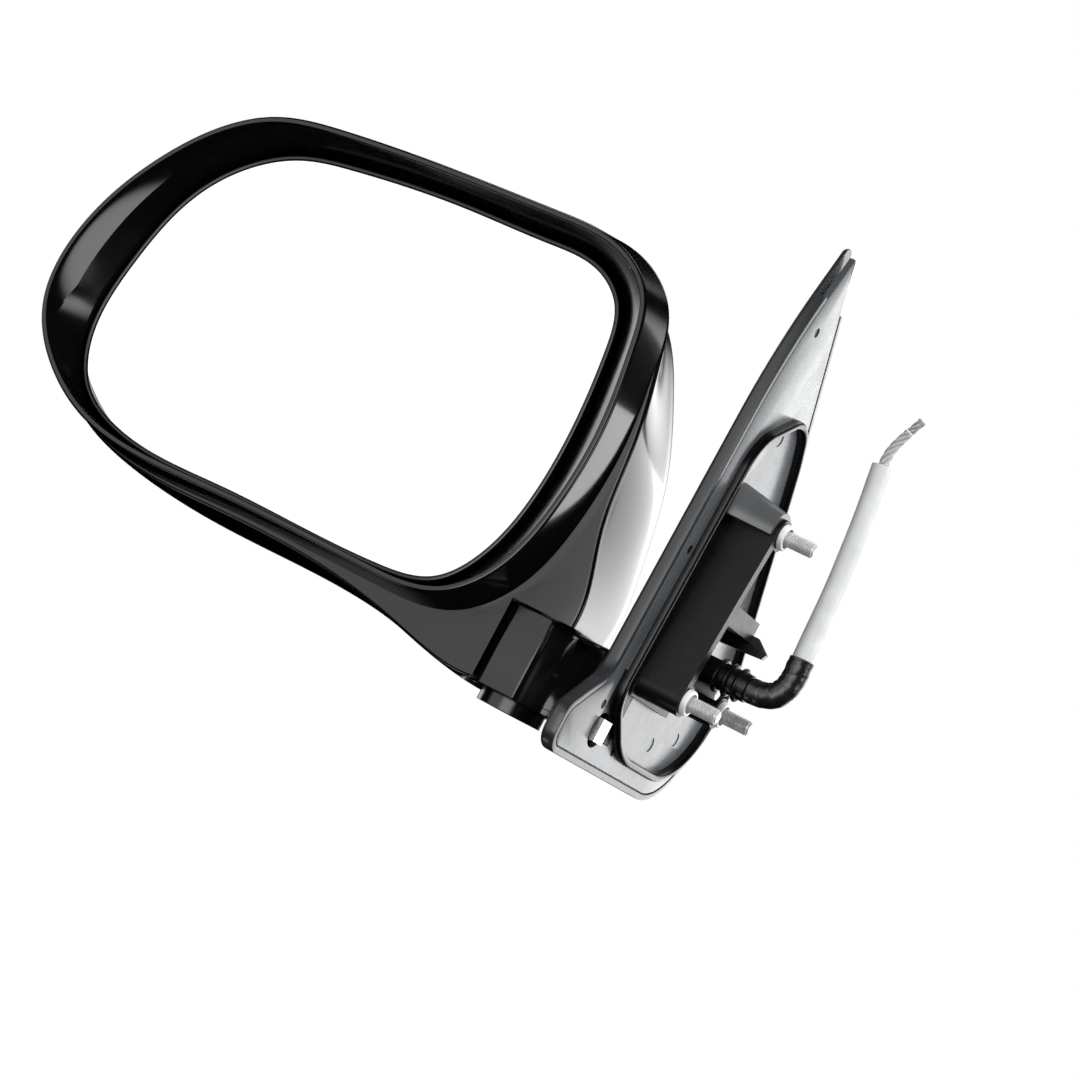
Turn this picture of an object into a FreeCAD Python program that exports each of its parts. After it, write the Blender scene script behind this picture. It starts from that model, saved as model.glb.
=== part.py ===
import FreeCAD, Part
import math
import os

# A left-hand car side mirror with power glass and a folding head, in millimetres.
# +X points inboard, into the car door; +Y points forward; +Z is up; the glass looks back, along -Y.
# The origin lies on the faces of the mounting bosses, x = 0, in the middle of the three studs.

SIZES = [
    # Head: the rim of the bezel, and how far the housing reaches behind and in front of the door's origin
    ("head_width", 246.0), ("head_height", 152.6), ("rim_inboard", 61.0), ("head_mid_z", 27.7),
    ("rim_back", 58.0), ("face_back", 40.0), ("round_back", 10.0), ("shell_front", 28.0),
    ("rim_land", 2.5), ("wall", 2.5), ("face_wall", 3.0), ("spigot_depth", 2.0), ("spigot_wall", 2.6),
    # Glass, its holder and the margins between the glass and the rim
    ("margin_outboard", 22.5), ("margin_inboard", 18.9), ("margin_top", 10.2), ("margin_bottom", 5.2),
    ("glass_back", 43.0), ("glass_thick", 2.0), ("pad_thick", 0.8), ("pad_inset", 4.0),
    ("lip_width", 1.6), ("lip_proud", 0.7), ("holder_floor", 2.5), ("glass_gap", 2.0), ("pocket_gap", 0.2),
    # Glass drive
    ("ball_radius", 8.0), ("ball_clear", 1.2), ("ball_gap", 0.35), ("plunger_reach", 28.0),
    ("plunger_radius", 3.0), ("plunger_gap", 0.35), ("plunger_stroke", 4.0), ("socket_gap", 1.8),
    ("case_radius", 38.0), ("case_back", 28.0), ("case_front", 8.0), ("case_wall", 2.0), ("cover_thick", 2.0),
    ("motor_radius", 7.5), ("motor_length", 28.0), ("motor_reach", 19.0),
    # Fold pivot and its knuckle
    ("axis_out", 59.0), ("axis_back", 19.0), ("knuckle_radius", 21.0), ("knuckle_flat", 8.0),
    ("knuckle_top", 32.0), ("knuckle_bottom", 65.0), ("knuckle_wall", 2.5), ("fold_gap", 0.8),
    ("neck_half", 13.0), ("post_radius", 5.0), ("running_gap", 0.05), ("hub_radius", 11.5),
    ("hub_height", 22.0), ("boss_radius", 13.0), ("washer_thick", 1.0), ("spring_wire", 2.2),
    ("spring_height", 16.0), ("spring_turns", 4.0), ("nut_height", 5.0), ("nut_rim", 1.4),
    # Bracket inside the head
    ("bracket_thick", 5.0), ("screw_radius", 2.0), ("screw_head", 3.6), ("screw_head_high", 1.6),
    ("housing_boss", 5.0),
    # Sail and its back plate
    ("plate_face", 22.0), ("sail_thick", 6.0), ("sail_skin", 2.4), ("sail_edge", 2.6), ("sail_round", 2.2),
    ("plate_thick", 2.4), ("plate_gap", 0.25), ("tip_slot", 26.0), ("gasket_wide", 3.2), ("gasket_high", 3.4),
    # Casting that carries the studs
    ("arm_half", 9.5), ("rib_thick", 4.0), ("boss_pad", 6.2), ("window_gap", 0.4), ("cross_half", 4.0),
    ("stud_radius", 3.0), ("stud_root", 3.6), ("stud_long", 14.0), ("stud_deep", 16.0), ("stud_tip", 0.8),
    ("collar_radius", 5.2), ("collar_thick", 2.2), ("collar_gap", 0.85), ("collar_sunk", 0.2),
    ("gusset_base", 12.4), ("gusset_top", 8.4), ("bolt_flat", 9.0), ("bolt_high", 5.0), ("bolt_shank", 3.0),
    ("pocket_radius", 7.0), ("cover_screw", 1.8), ("pin_radius", 2.4), ("hook_thick", 2.6),
    # Cable
    ("cable_radius", 4.25), ("wrap_thick", 0.6), ("wrap_gap", 0.05), ("wire_radius", 2.3),
    ("grommet_radius", 5.4), ("grommet_rib", 6.8), ("grommet_ribs", 4.0), ("rib_pitch", 4.4),
]

# Closed outlines of the head seen from behind, as fractions of half the width and half the height:
# from the top outboard shoulder along the top, down the inboard side and back along the bottom.
RIM = [
    (-0.545, 0.853), (-0.293, 0.937), (0.154, 0.983), (0.528, 0.999), (0.759, 0.967), (0.914, 0.790),
    (0.962, 0.550), (0.999, 0.077), (0.985, -0.288), (0.912, -0.691), (0.776, -0.921), (0.504, -0.990),
    (-0.122, -0.997), (-0.634, -0.949), (-0.825, -0.790), (-0.972, -0.509), (-0.983, -0.071),
    (-0.840, 0.431), (-0.693, 0.701),
]
GLASS = [
    (-0.553, 0.858), (-0.321, 0.930), (0.168, 0.990), (0.569, 0.999), (0.794, 0.972), (0.921, 0.834),
    (0.973, 0.581), (1.001, 0.099), (0.989, -0.288), (0.919, -0.674), (0.794, -0.908), (0.569, -0.988),
    (-0.164, -0.999), (-0.731, -0.955), (-0.897, -0.828), (-0.988, -0.601), (-0.988, -0.076),
    (-0.878, 0.442), (-0.731, 0.701),
]
# The housing's face behind the rim, with the leg that reaches down to the knuckle
FACE = [
    (-0.561, 0.882), (-0.301, 0.970), (0.154, 1.017), (0.528, 1.033), (0.772, 1.000), (0.931, 0.810),
    (0.988, 0.567), (1.045, 0.135), (1.081, -0.298), (1.146, -0.756), (1.008, -1.163), (0.602, -1.143),
    (-0.122, -1.058), (-0.634, -0.999), (-0.837, -0.828), (-0.988, -0.520), (-1.000, -0.068),
    (-0.858, 0.450), (-0.711, 0.725),
]
# The housing's widest section, from which it rounds over to the front
WIDE = [
    (-0.585, 0.908), (-0.309, 1.000), (0.146, 1.052), (0.488, 1.065), (0.650, 0.987), (0.829, 0.803),
    (0.955, 0.502), (1.073, 0.069), (1.124, -0.311), (1.146, -0.756), (1.008, -1.182), (0.602, -1.163),
    (-0.122, -1.104), (-0.634, -1.031), (-0.829, -0.900), (-0.967, -0.547), (-0.980, -0.075),
    (-0.846, 0.450), (-0.724, 0.738),
]
# Sections between the face and the widest one as shares of the way, then those of the rounded front as
# shares of its depth, and the point that these shrink towards
FLARE_STEPS = (0.0, 0.25, 0.5, 0.75)
ROUND_STEPS = (0.0, 0.25, 0.45, 0.6, 0.73, 0.84, 0.93, 0.985)
ROUND_CENTRE = (0.2, -0.1)

# Sail outline seen from the cabin, as (y, z, corner radius): apex, rear edge, foot, front edge
SAIL = [
    (-17.0, 146.0, 3.0), (-33.5, 95.0, 200.0), (-38.5, -40.0, 14.0), (-59.0, -58.0, 9.0), (-58.5, -75.0, 8.0),
    (60.0, -75.0, 30.0), (84.0, -35.0, 28.0), (42.0, 54.0, 400.0),
]
# Seal against the door, laid on the sail's back plate
GASKET = [
    (12.0, 84.0, 14.0), (-22.0, 62.0, 22.0), (-27.0, -48.0, 16.0), (0.0, -66.5, 40.0), (66.0, -66.5, 34.0),
    (75.0, -20.0, 30.0), (26.0, 66.0, 60.0),
]
STUDS = {"upper": (-7.0, 35.0), "rear": (-16.3, -35.9), "front": (19.9, -32.6)}
COVER_SCREWS = [(-27.3, 13.8), (-31.5, -50.8), (-2.0, -64.0), (-16.5, 108.1)]
FOOT_BOLT = (-24.5, -60.0)
GROMMET = (2.0, -20.5)
PIN = (6.5, -27.0)
HOOK = [(-1.0, -1.0), (2.0, -1.0), (8.0, -5.5), (7.0, -7.5), (0.0, -8.0), (-22.0, -9.0), (-22.0, -1.0)]
HOOK_BACK = 14.0
# Route of the cable's centre line, as (x, z) in the plane of the grommet, from the grommet's mouth up
CABLE = [(13.0, -20.5), (21.5, -20.5), (26.5, -13.0), (25.7, -2.0), (24.9, 18.0), (22.8, 47.0), (18.6, 75.5)]
WRAP_POINTS = 4
WIRES = [(18.6, 75.5), (17.9, 80.3), (20.6, 88.9), (24.2, 97.0)]
ROUTE_SHARE = 0.45

doc = FreeCAD.newDocument("side_mirror")
sheet = doc.addObject("Spreadsheet::Sheet", "Size")
for row, (alias, number) in enumerate(SIZES, start=1):
    sheet.set(f"A{row}", alias)
    sheet.set(f"B{row}", str(number))
    sheet.setAlias(f"B{row}", alias)
doc.recompute()

ALONG_X = FreeCAD.Rotation(FreeCAD.Vector(0, 1, 0), 90)
ALONG_Y = FreeCAD.Rotation(FreeCAD.Vector(1, 0, 0), -90)
nodes = []


def size(alias):
    """A driving dimension, read from the sheet."""
    return float(sheet.get(alias))


def piece(kind, label, at, turn=None, **bindings):
    """A Part object whose sizes and place are bound to expressions on the sheet."""
    made = doc.addObject(kind, label)
    made.Label = label
    made.Placement = FreeCAD.Placement(FreeCAD.Vector(), turn or FreeCAD.Rotation())
    for name, expression in zip("xyz", at):
        made.setExpression(f".Placement.Base.{name}", str(expression))
    for name, expression in bindings.items():
        made.setExpression(name, str(expression))
    return made


def cylinder(label, at, radius, height, turn=None):
    return piece("Part::Cylinder", label, at, turn, Radius=radius, Height=height)


def block(label, at, length, width, height):
    return piece("Part::Box", label, at, None, Length=length, Width=width, Height=height)


def fused(label, shapes):
    made = doc.addObject("Part::MultiFuse", label)
    made.Label = label
    made.Shapes = shapes
    return made


def cut(label, base, tool):
    made = doc.addObject("Part::Cut", label)
    made.Label = label
    made.Base = base
    made.Tool = tool
    return made


def feature(label, shape, at=(0, 0, 0)):
    made = doc.addObject("Part::Feature", label)
    made.Label = label
    made.Shape = shape
    made.Placement = FreeCAD.Placement(FreeCAD.Vector(*at), FreeCAD.Rotation())
    return made


def keep(made):
    """Enter a finished sub-part in the list of nodes; its label names its file."""
    nodes.append(made)
    return made


# ---------------------------------------------------------------- outlines

def head_point(u, v):
    """The (x, z) place of one pair of shares of the head's half width and half height."""
    half_width = size("head_width") / 2
    middle = -size("rim_inboard") - half_width
    return middle + u * half_width, size("head_mid_z") + v * size("head_height") / 2


def head_outline(shares, spread=0.0):
    """(x, z) points of a head outline, pushed outwards along its own normals by spread."""
    return offset_points([head_point(u, v) for u, v in shares], spread)


def glass_outline(spread=0.0):
    """(x, z) points of the glass edge, pushed outwards by spread."""
    left = -size("rim_inboard") - size("head_width") + size("margin_outboard")
    right = -size("rim_inboard") - size("margin_inboard")
    low = size("head_mid_z") - size("head_height") / 2 + size("margin_bottom")
    high = size("head_mid_z") + size("head_height") / 2 - size("margin_top")
    half_width = (right - left) / 2
    half_height = (high - low) / 2
    points = [(left + half_width * (1 + u), low + half_height * (1 + v)) for u, v in GLASS]
    return offset_points(points, spread)


def offset_points(points, spread):
    """Move each point of a clockwise loop outwards, square to the chord of its two neighbours."""
    moved = []
    for index, (x, z) in enumerate(points):
        before = points[index - 1]
        after = points[(index + 1) % len(points)]
        along_x = after[0] - before[0]
        along_z = after[1] - before[1]
        length = math.hypot(along_x, along_z)
        moved.append((x - spread * along_z / length, z + spread * along_x / length))
    return moved


def smooth_wire(points, y):
    """A closed smooth curve through (x, z) points at one depth."""
    curve = Part.BSplineCurve()
    curve.interpolate([FreeCAD.Vector(x, y, z) for x, z in points], True)
    return Part.Wire(curve.toShape())


def loft(sections):
    """A solid ruled between closed outlines, each given as (points, y)."""
    return Part.makeLoft([smooth_wire(points, y) for points, y in sections], True, True)


def rounded_wire(corners, x):
    """A closed polygon of (y, z, radius) corners at one x, its corners rounded by tangent arcs."""
    edges = []
    arcs = []
    for index, (y, z, radius) in enumerate(corners):
        corner = FreeCAD.Vector(x, y, z)
        before = FreeCAD.Vector(x, *corners[index - 1][:2]) - corner
        after = FreeCAD.Vector(x, *corners[(index + 1) % len(corners)][:2]) - corner
        opening = before.getAngle(after)
        back = radius / math.tan(opening / 2)
        start = corner + before.normalize() * back
        end = corner + after.normalize() * back
        middle = (before + after).normalize()
        arcs.append((start, corner + middle * (radius / math.sin(opening / 2) - radius), end))
    for index, (start, middle, end) in enumerate(arcs):
        edges.append(Part.Arc(start, middle, end).toShape())
        edges.append(Part.LineSegment(end, arcs[(index + 1) % len(arcs)][0]).toShape())
    return Part.Wire(edges)


def slab(wire, thick):
    """A flat plate of one outline, thick along +X."""
    return Part.Face(wire).extrude(FreeCAD.Vector(thick, 0, 0))


def hole_x(y, z, radius, start, end):
    """A cylinder along X between two x places."""
    return Part.makeCylinder(radius, end - start, FreeCAD.Vector(start, y, z), FreeCAD.Vector(1, 0, 0))


def span(x_range, y_range, z_range):
    """A box between pairs of x, y and z places."""
    low = FreeCAD.Vector(x_range[0], y_range[0], z_range[0])
    return Part.makeBox(x_range[1] - x_range[0], y_range[1] - y_range[0], z_range[1] - z_range[0], low)


# ---------------------------------------------------------------- places worked out from the sizes

axis_x = -size("axis_out")
axis_y = -size("axis_back")
opening_spread = size("lip_width") + size("glass_gap")
glass_points = glass_outline()
pivot_x = (min(x for x, z in glass_points) + max(x for x, z in glass_points)) / 2
pivot_z = (min(z for x, z in glass_points) + max(z for x, z in glass_points)) / 2
pad_front = -size("glass_back") + size("glass_thick") + size("pad_thick")
ball_y = pad_front + size("ball_clear") + size("ball_radius")
bracket_front = -size("case_front") + size("bracket_thick")
notch_radius = math.hypot(size("knuckle_radius"), size("knuckle_flat")) + size("fold_gap")
hub_low = -size("knuckle_top") + size("washer_thick")
sail_outer = -size("plate_face") - size("sail_thick")
HOUSING_SCREWS = [(pivot_x + 62, pivot_z - 10), (pivot_x - 48, pivot_z - 4), (pivot_x - 20, pivot_z + 44)]
CASE_SCREWS = [(pivot_x + 34 * math.cos(a), pivot_z + 34 * math.sin(a)) for a in (-0.6, 2.2, 4.0)]


# ---------------------------------------------------------------- head

def flared_sections(spread, start_y):
    """Sections from the housing's face out to its widest outline, easing into it."""
    sections = []
    for step in FLARE_STEPS:
        share = step * (2 - step)
        mixed = [(u + (wide_u - u) * share, v + (wide_v - v) * share)
                 for (u, v), (wide_u, wide_v) in zip(FACE, WIDE)]
        sections.append((head_outline(mixed, spread), start_y + (-size("round_back") - start_y) * step))
    return sections


def rounded_sections(spread, depth_loss):
    """Sections from the widest outline to the front, shrinking towards a point as they near it."""
    points = head_outline(WIDE, spread)
    centre = head_point(*ROUND_CENTRE)
    reach = size("shell_front") + size("round_back") - depth_loss
    sections = []
    for step in ROUND_STEPS:
        scale = (1 - step ** 2.6) ** 0.4545
        shrunk = [(centre[0] + (x - centre[0]) * scale, centre[1] + (z - centre[1]) * scale)
                  for x, z in points]
        sections.append((shrunk, -size("round_back") + reach * step))
    return sections


def notch(grow):
    """The space the knuckle and its neck take under the head, grown by a wall."""
    top = -size("knuckle_top") + grow
    low = -size("knuckle_bottom") - size("head_height")
    drum = Part.makeCylinder(notch_radius + grow, top - low, FreeCAD.Vector(axis_x, axis_y, low))
    beside = span((axis_x - grow, 0), (-size("head_width"), size("head_width")), (low, top))
    return drum.fuse(beside)


def head_shell():
    """Moulded housing: a thin skin with a flat face behind the bezel and bosses for the bracket."""
    face = -size("face_back")
    inner_face = face + size("face_wall")
    outer = loft(flared_sections(0, face) + rounded_sections(0, 0))
    wall = size("wall")
    inner = loft(flared_sections(-wall, inner_face) + rounded_sections(-wall, wall))
    solid = outer.cut(notch(size("washer_thick") / 2))
    cavity = inner.cut(notch(size("wall")))
    mouth_points = glass_outline(opening_spread + size("spigot_wall"))
    mouth = loft([(mouth_points, y) for y in (face - 1, inner_face + 1)])
    skin = solid.cut(cavity).cut(mouth)
    for x, z in HOUSING_SCREWS:
        boss = Part.makeCylinder(size("housing_boss"), size("shell_front") - bracket_front,
                                 FreeCAD.Vector(x, bracket_front, z), FreeCAD.Vector(0, 1, 0))
        skin = skin.fuse(boss.common(outer))
    post_way = Part.makeCylinder(size("boss_radius") + 2 * size("fold_gap"), 4 * size("wall"),
                                 FreeCAD.Vector(axis_x, axis_y, -size("knuckle_top") - size("wall")))
    return skin.cut(post_way)


def bezel():
    """Ring around the glass: a narrow rim, a wall sloping in to the glass and a spigot behind."""
    rim = -size("rim_back")
    face = -size("face_back")
    throat = face - size("spigot_depth")
    outside = loft([(head_outline(RIM), rim), (head_outline(RIM, size("wall")), face)])
    spigot_points = glass_outline(opening_spread + size("spigot_wall") - size("pocket_gap"))
    spigot = loft([(spigot_points, face), (spigot_points, face + size("spigot_depth"))])
    mouth_points = glass_outline(opening_spread)
    flared = loft([(head_outline(RIM, -size("rim_land")), rim), (mouth_points, throat)])
    straight = loft([(mouth_points, throat), (mouth_points, face + 2 * size("spigot_depth"))])
    return outside.fuse(spigot).cut(flared).cut(straight)


keep(feature("head_shell", head_shell()))
keep(feature("bezel", bezel()))


def pivot_bracket():
    """Cast bracket: a hub that turns on the post, and a plate that carries the glass drive."""
    front = bracket_front
    back = -size("case_front")
    hub_high = hub_low + size("hub_height")
    hub = Part.makeCylinder(size("hub_radius"), size("hub_height"), FreeCAD.Vector(axis_x, axis_y, hub_low))
    arm = span((axis_x - 20, axis_x), (axis_y - 5, front), (hub_low + 2, hub_high))
    beam = span((pivot_x - 56, axis_x - 8), (back, front), (hub_low + 8, pivot_z - 4))
    disc = Part.makeCylinder(size("case_radius") + 2, front - back, FreeCAD.Vector(pivot_x, back, pivot_z),
                             FreeCAD.Vector(0, 1, 0))
    body = hub.fuse([arm, beam, disc])
    for x, z in HOUSING_SCREWS:
        ear = Part.makeCylinder(size("housing_boss") + 1.5, front - back, FreeCAD.Vector(x, back, z),
                                FreeCAD.Vector(0, 1, 0))
        upright = span((x - 4, x + 4), (back, front), (min(z, pivot_z), max(z, pivot_z)))
        strap = span((min(x, pivot_x), max(x, pivot_x)), (back, front), (pivot_z - 4, pivot_z + 4))
        body = body.fuse([ear, upright, strap])
    bores = [Part.makeCylinder(size("post_radius") + size("running_gap"), size("hub_height") + 2,
                               FreeCAD.Vector(axis_x, axis_y, hub_low - 1))]
    for x, z in HOUSING_SCREWS + CASE_SCREWS:
        bores.append(Part.makeCylinder(size("screw_radius"), 40, FreeCAD.Vector(x, back - 1, z),
                                       FreeCAD.Vector(0, 1, 0)))
    return body.cut(bores).removeSplitter()


keep(feature("pivot_bracket", pivot_bracket()))


def screw_y(label, x, z, head_y, length):
    """A pan screw along +Y: a head behind head_y and a shank in front of it."""
    head = cylinder(f"{label}_pan", (x, f"{head_y} - Size.screw_head_high", z), "Size.screw_head",
                    "Size.screw_head_high", ALONG_Y)
    shank = cylinder(f"{label}_shank", (x, head_y, z), "Size.screw_radius", length, ALONG_Y)
    return keep(fused(label, [head, shank]))


for number, (x, z) in enumerate(HOUSING_SCREWS, start=1):
    screw_y(f"housing_screw_{number}", x, z, "-Size.case_front", "Size.bracket_thick")


# ---------------------------------------------------------------- glass drive

def along_y(x, z, radius, start, end):
    """A cylinder along Y between two y places."""
    return Part.makeCylinder(radius, end - start, FreeCAD.Vector(x, start, z), FreeCAD.Vector(0, 1, 0))


PLUNGERS = {
    "pan": (pivot_x - size("plunger_reach"), pivot_z),
    "tilt": (pivot_x, pivot_z - size("plunger_reach")),
}
cover_y = -size("case_back") + size("cover_thick")
ball_centre = FreeCAD.Vector(pivot_x, ball_y, pivot_z)


def drive_case():
    """Round cup of the drive, with guide tubes for the plungers and a seat for the ball."""
    floor = -size("case_front") - size("case_wall")
    cup = along_y(pivot_x, pivot_z, size("case_radius"), cover_y, -size("case_front"))
    cup = cup.cut(along_y(pivot_x, pivot_z, size("case_radius") - size("case_wall"), cover_y - 1, floor))
    guides = [along_y(x, z, size("plunger_radius") + 2.5, cover_y, floor) for x, z in PLUNGERS.values()]
    column = along_y(pivot_x, pivot_z, size("ball_radius") + 1.6, cover_y, floor)
    bosses = [along_y(x, z, size("screw_radius") + 1.6, cover_y, floor) for x, z in CASE_SCREWS]
    cup = cup.fuse(guides + [column] + bosses)
    ways = [along_y(x, z, size("plunger_radius") + size("plunger_gap"), cover_y - 1, floor)
            for x, z in PLUNGERS.values()]
    holes = [along_y(x, z, size("screw_radius"), cover_y - 1, 0) for x, z in CASE_SCREWS]
    seat = Part.makeSphere(size("ball_radius") + size("ball_gap"), ball_centre)
    return cup.cut(ways + holes + [seat]).removeSplitter()


def drive_cover():
    """Lid of the drive, pierced for the plungers, the ball and the screws."""
    lid = along_y(pivot_x, pivot_z, size("case_radius"), -size("case_back"), cover_y)
    ways = [along_y(x, z, size("plunger_radius") + size("plunger_gap"), -40, 0) for x, z in PLUNGERS.values()]
    holes = [along_y(x, z, size("screw_radius"), -40, 0) for x, z in CASE_SCREWS]
    seat = Part.makeSphere(size("ball_radius") + size("ball_gap"), ball_centre)
    return lid.cut(ways + holes + [seat])


keep(feature("drive_case", drive_case()))
keep(feature("drive_cover", drive_cover()))
for number, (x, z) in enumerate(CASE_SCREWS, start=1):
    screw_y(f"drive_screw_{number}", x, z, "-Size.case_back",
            "Size.case_back - Size.case_front + Size.bracket_thick")

motor_y = -size("case_front") - size("case_wall") - size("motor_radius")
keep(cylinder("motor_pan", (pivot_x + size("motor_reach"), motor_y, pivot_z - size("motor_length") + 12.2),
              "Size.motor_radius", "Size.motor_length", None))
keep(cylinder("motor_tilt", (pivot_x - size("motor_length") / 2 - 2, motor_y, pivot_z + size("motor_reach") + 1),
              "Size.motor_radius", "Size.motor_length", ALONG_X))

keep(piece("Part::Sphere", "pivot_ball", (pivot_x, ball_y, pivot_z), None, Radius="Size.ball_radius"))

holder_back = pad_front + size("holder_floor")
for name, (x, z) in PLUNGERS.items():
    tip = holder_back + size("socket_gap")
    reach = -size("case_front") - size("case_wall") - size("plunger_stroke") - size("plunger_gap") - tip
    keep(cylinder(f"plunger_{name}", (x, tip, z), "Size.plunger_radius", reach, ALONG_Y))


def glass_holder():
    """Tray that grips the glass by its edge, with a socket for the ball and two for the plungers."""
    lip = -size("glass_back") - size("lip_proud")
    tray = loft([(glass_outline(size("lip_width")), y) for y in (lip, holder_back)])
    pocket = loft([(glass_outline(size("pocket_gap")), y) for y in (lip - 1, pad_front)])
    tray = tray.cut(pocket)
    cup = along_y(pivot_x, pivot_z, size("ball_radius") + 4, holder_back, ball_y - 2.5)
    rings = [along_y(x, z, size("plunger_radius") + size("socket_gap") + 1.8, holder_back, holder_back + 3)
             for x, z in PLUNGERS.values()]
    bores = [along_y(x, z, size("plunger_radius") + size("socket_gap"), holder_back, holder_back + 4)
             for x, z in PLUNGERS.values()]
    seat = Part.makeSphere(size("ball_radius") + size("ball_gap"), ball_centre)
    return tray.fuse([cup] + rings).cut(bores + [seat])


glass_front = -size("glass_back") + size("glass_thick")
keep(feature("glass_holder", glass_holder()))
keep(feature("mirror_glass", loft([(glass_points, y) for y in (-size("glass_back"), glass_front)])))
keep(feature("adhesive_pad", loft([(glass_outline(-size("pad_inset")), y)
                                   for y in (glass_front, glass_front + size("pad_thick"))])))


# ---------------------------------------------------------------- fold pivot

def knuckle_cover():
    """Hollow knuckle: a drum about the fold axis with a flat front, and a neck to the sail."""
    low = -size("knuckle_bottom")
    top = -size("knuckle_top")

    def solid(inset, high):
        """The knuckle's outside, made smaller all round by inset."""
        front = axis_y - size("knuckle_radius") + inset
        side = size("knuckle_flat") - inset
        radius = size("knuckle_radius") - inset
        drum = Part.makeCylinder(radius, high - low, FreeCAD.Vector(axis_x, axis_y, low))
        flat = span((axis_x - side, axis_x + side), (front, axis_y), (low, high))
        neck_half = size("neck_half") - inset
        neck = span((axis_x, sail_outer), (axis_y - neck_half, axis_y + neck_half), (low, high))
        return drum.fuse([flat, neck])

    shell = solid(0, top).cut(solid(size("knuckle_wall"), top - size("knuckle_wall")))
    way = Part.makeCylinder(size("boss_radius") + size("window_gap"), 60, FreeCAD.Vector(axis_x, axis_y, low))
    return shell.cut(way).removeSplitter()


keep(feature("knuckle_cover", knuckle_cover()))
keep(cylinder("pivot_post", ("-Size.axis_out", "-Size.axis_back", "-Size.knuckle_bottom + 4"), "Size.post_radius",
              "Size.knuckle_bottom - 4 - Size.knuckle_top + Size.washer_thick * 2 + Size.hub_height"
              " + Size.spring_height + Size.nut_height", None))


def ring_on_post(label, low, radius, height):
    """A washer or nut about the fold axis, on the post."""
    at = ("-Size.axis_out", "-Size.axis_back", low)
    disc = cylinder(f"{label}_disc", at, radius, height)
    bore = cylinder(f"{label}_bore", at, "Size.post_radius", height)
    return keep(cut(label, disc, bore))


spring_low = "-Size.knuckle_top + Size.washer_thick + Size.hub_height"
ring_on_post("pivot_washer", "-Size.knuckle_top", "Size.hub_radius", "Size.washer_thick")
ring_on_post("spring_washer", f"{spring_low} + Size.spring_height", "Size.post_radius + Size.spring_wire + 0.3",
             "Size.washer_thick")


def fold_spring():
    """Coil spring between the hub and its washer, drawn about the Z axis."""
    rise = size("spring_height") - size("spring_wire")
    radius = size("post_radius") + size("spring_wire") / 2 + 0.3
    helix = Part.makeHelix(rise / size("spring_turns"), rise, radius)
    section = Part.makeCircle(size("spring_wire") / 2, FreeCAD.Vector(radius, 0, 0), FreeCAD.Vector(0, 1, 0))
    return Part.Wire(helix.Edges).makePipeShell([Part.Wire(section)], True, True)


coil_low = hub_low + size("hub_height") + size("spring_wire") / 2
keep(feature("fold_spring", fold_spring(), (axis_x, axis_y, coil_low)))


def post_nut():
    """Hexagon nut that holds the spring down."""
    low = hub_low + size("hub_height") + size("spring_height") + size("washer_thick")
    radius = size("post_radius") + size("nut_rim")
    corners = [FreeCAD.Vector(axis_x + radius * math.cos(k * math.pi / 3),
                              axis_y + radius * math.sin(k * math.pi / 3), low) for k in range(7)]
    prism = Part.Face(Part.makePolygon(corners)).extrude(FreeCAD.Vector(0, 0, size("nut_height")))
    bore = Part.makeCylinder(size("post_radius"), size("nut_height"), FreeCAD.Vector(axis_x, axis_y, low))
    return prism.cut(bore)


keep(feature("post_nut", post_nut()))


# ---------------------------------------------------------------- sail

def arm_window(grow):
    """The part of the sail that the casting's arm passes through."""
    return span((sail_outer - 1, -size("plate_face") + 1),
                (axis_y - size("arm_half") - grow, axis_y + size("arm_half") + grow),
                (-size("knuckle_bottom") + 2 - grow, -size("knuckle_top") - 4 + grow))


def sail_cover():
    """Outer moulding of the sail: a skin with a rounded edge around a shallow pocket."""
    outline = rounded_wire(SAIL, sail_outer)
    body = slab(outline, size("sail_thick"))
    edges = [edge for edge in body.Edges if max(abs(v.X - sail_outer) for v in edge.Vertexes) < 0.01]
    body = body.makeFillet(size("sail_round"), edges)
    inside = outline.makeOffset2D(-size("sail_edge"))
    inside.translate(FreeCAD.Vector(size("sail_skin"), 0, 0))
    body = body.cut(slab(inside, size("sail_thick")))
    tip = max(z for y, z, radius in SAIL)
    slot = span((sail_outer + size("sail_skin"), 0), (-100, 100), (tip - size("tip_slot"), tip + 10))
    return body.cut(slot).cut(arm_window(size("window_gap")))


def sail_plate():
    """Inner panel of the sail, set into the cover's pocket."""
    outline = rounded_wire(SAIL, -size("plate_face") - size("plate_thick"))
    inside = outline.makeOffset2D(-size("sail_edge") - size("plate_gap"))
    body = slab(inside, size("plate_thick"))
    stands = [hole_x(y, z, size("cover_screw") + 2, sail_outer + size("sail_skin"), -size("plate_face") - 0.5)
              for y, z in COVER_SCREWS[:3]]
    body = body.fuse(stands)
    holes = [hole_x(y, z, size("cover_screw"), sail_outer, 0) for y, z in COVER_SCREWS]
    pocket = hole_x(*FOOT_BOLT, size("pocket_radius"), sail_outer, 0)
    return body.cut(holes + [pocket, arm_window(size("window_gap"))])


keep(feature("sail_cover", sail_cover()))
keep(feature("sail_plate", sail_plate()))


def door_gasket():
    """Rubber seal laid on the back plate, against the door."""
    outer = rounded_wire(GASKET, -size("plate_face"))
    inner = outer.makeOffset2D(-size("gasket_wide"))
    return slab(outer, size("gasket_high")).cut(slab(inner, size("gasket_high")))


keep(feature("door_gasket", door_gasket()))
for number, (y, z) in enumerate(COVER_SCREWS, start=1):
    start = "-Size.plate_face - Size.sail_thick + Size.sail_skin"
    keep(cylinder(f"cover_screw_{number}", (start, y, z), "Size.cover_screw",
                  "Size.sail_thick - Size.sail_skin - 0.4", ALONG_X))


# ---------------------------------------------------------------- casting and studs

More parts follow.
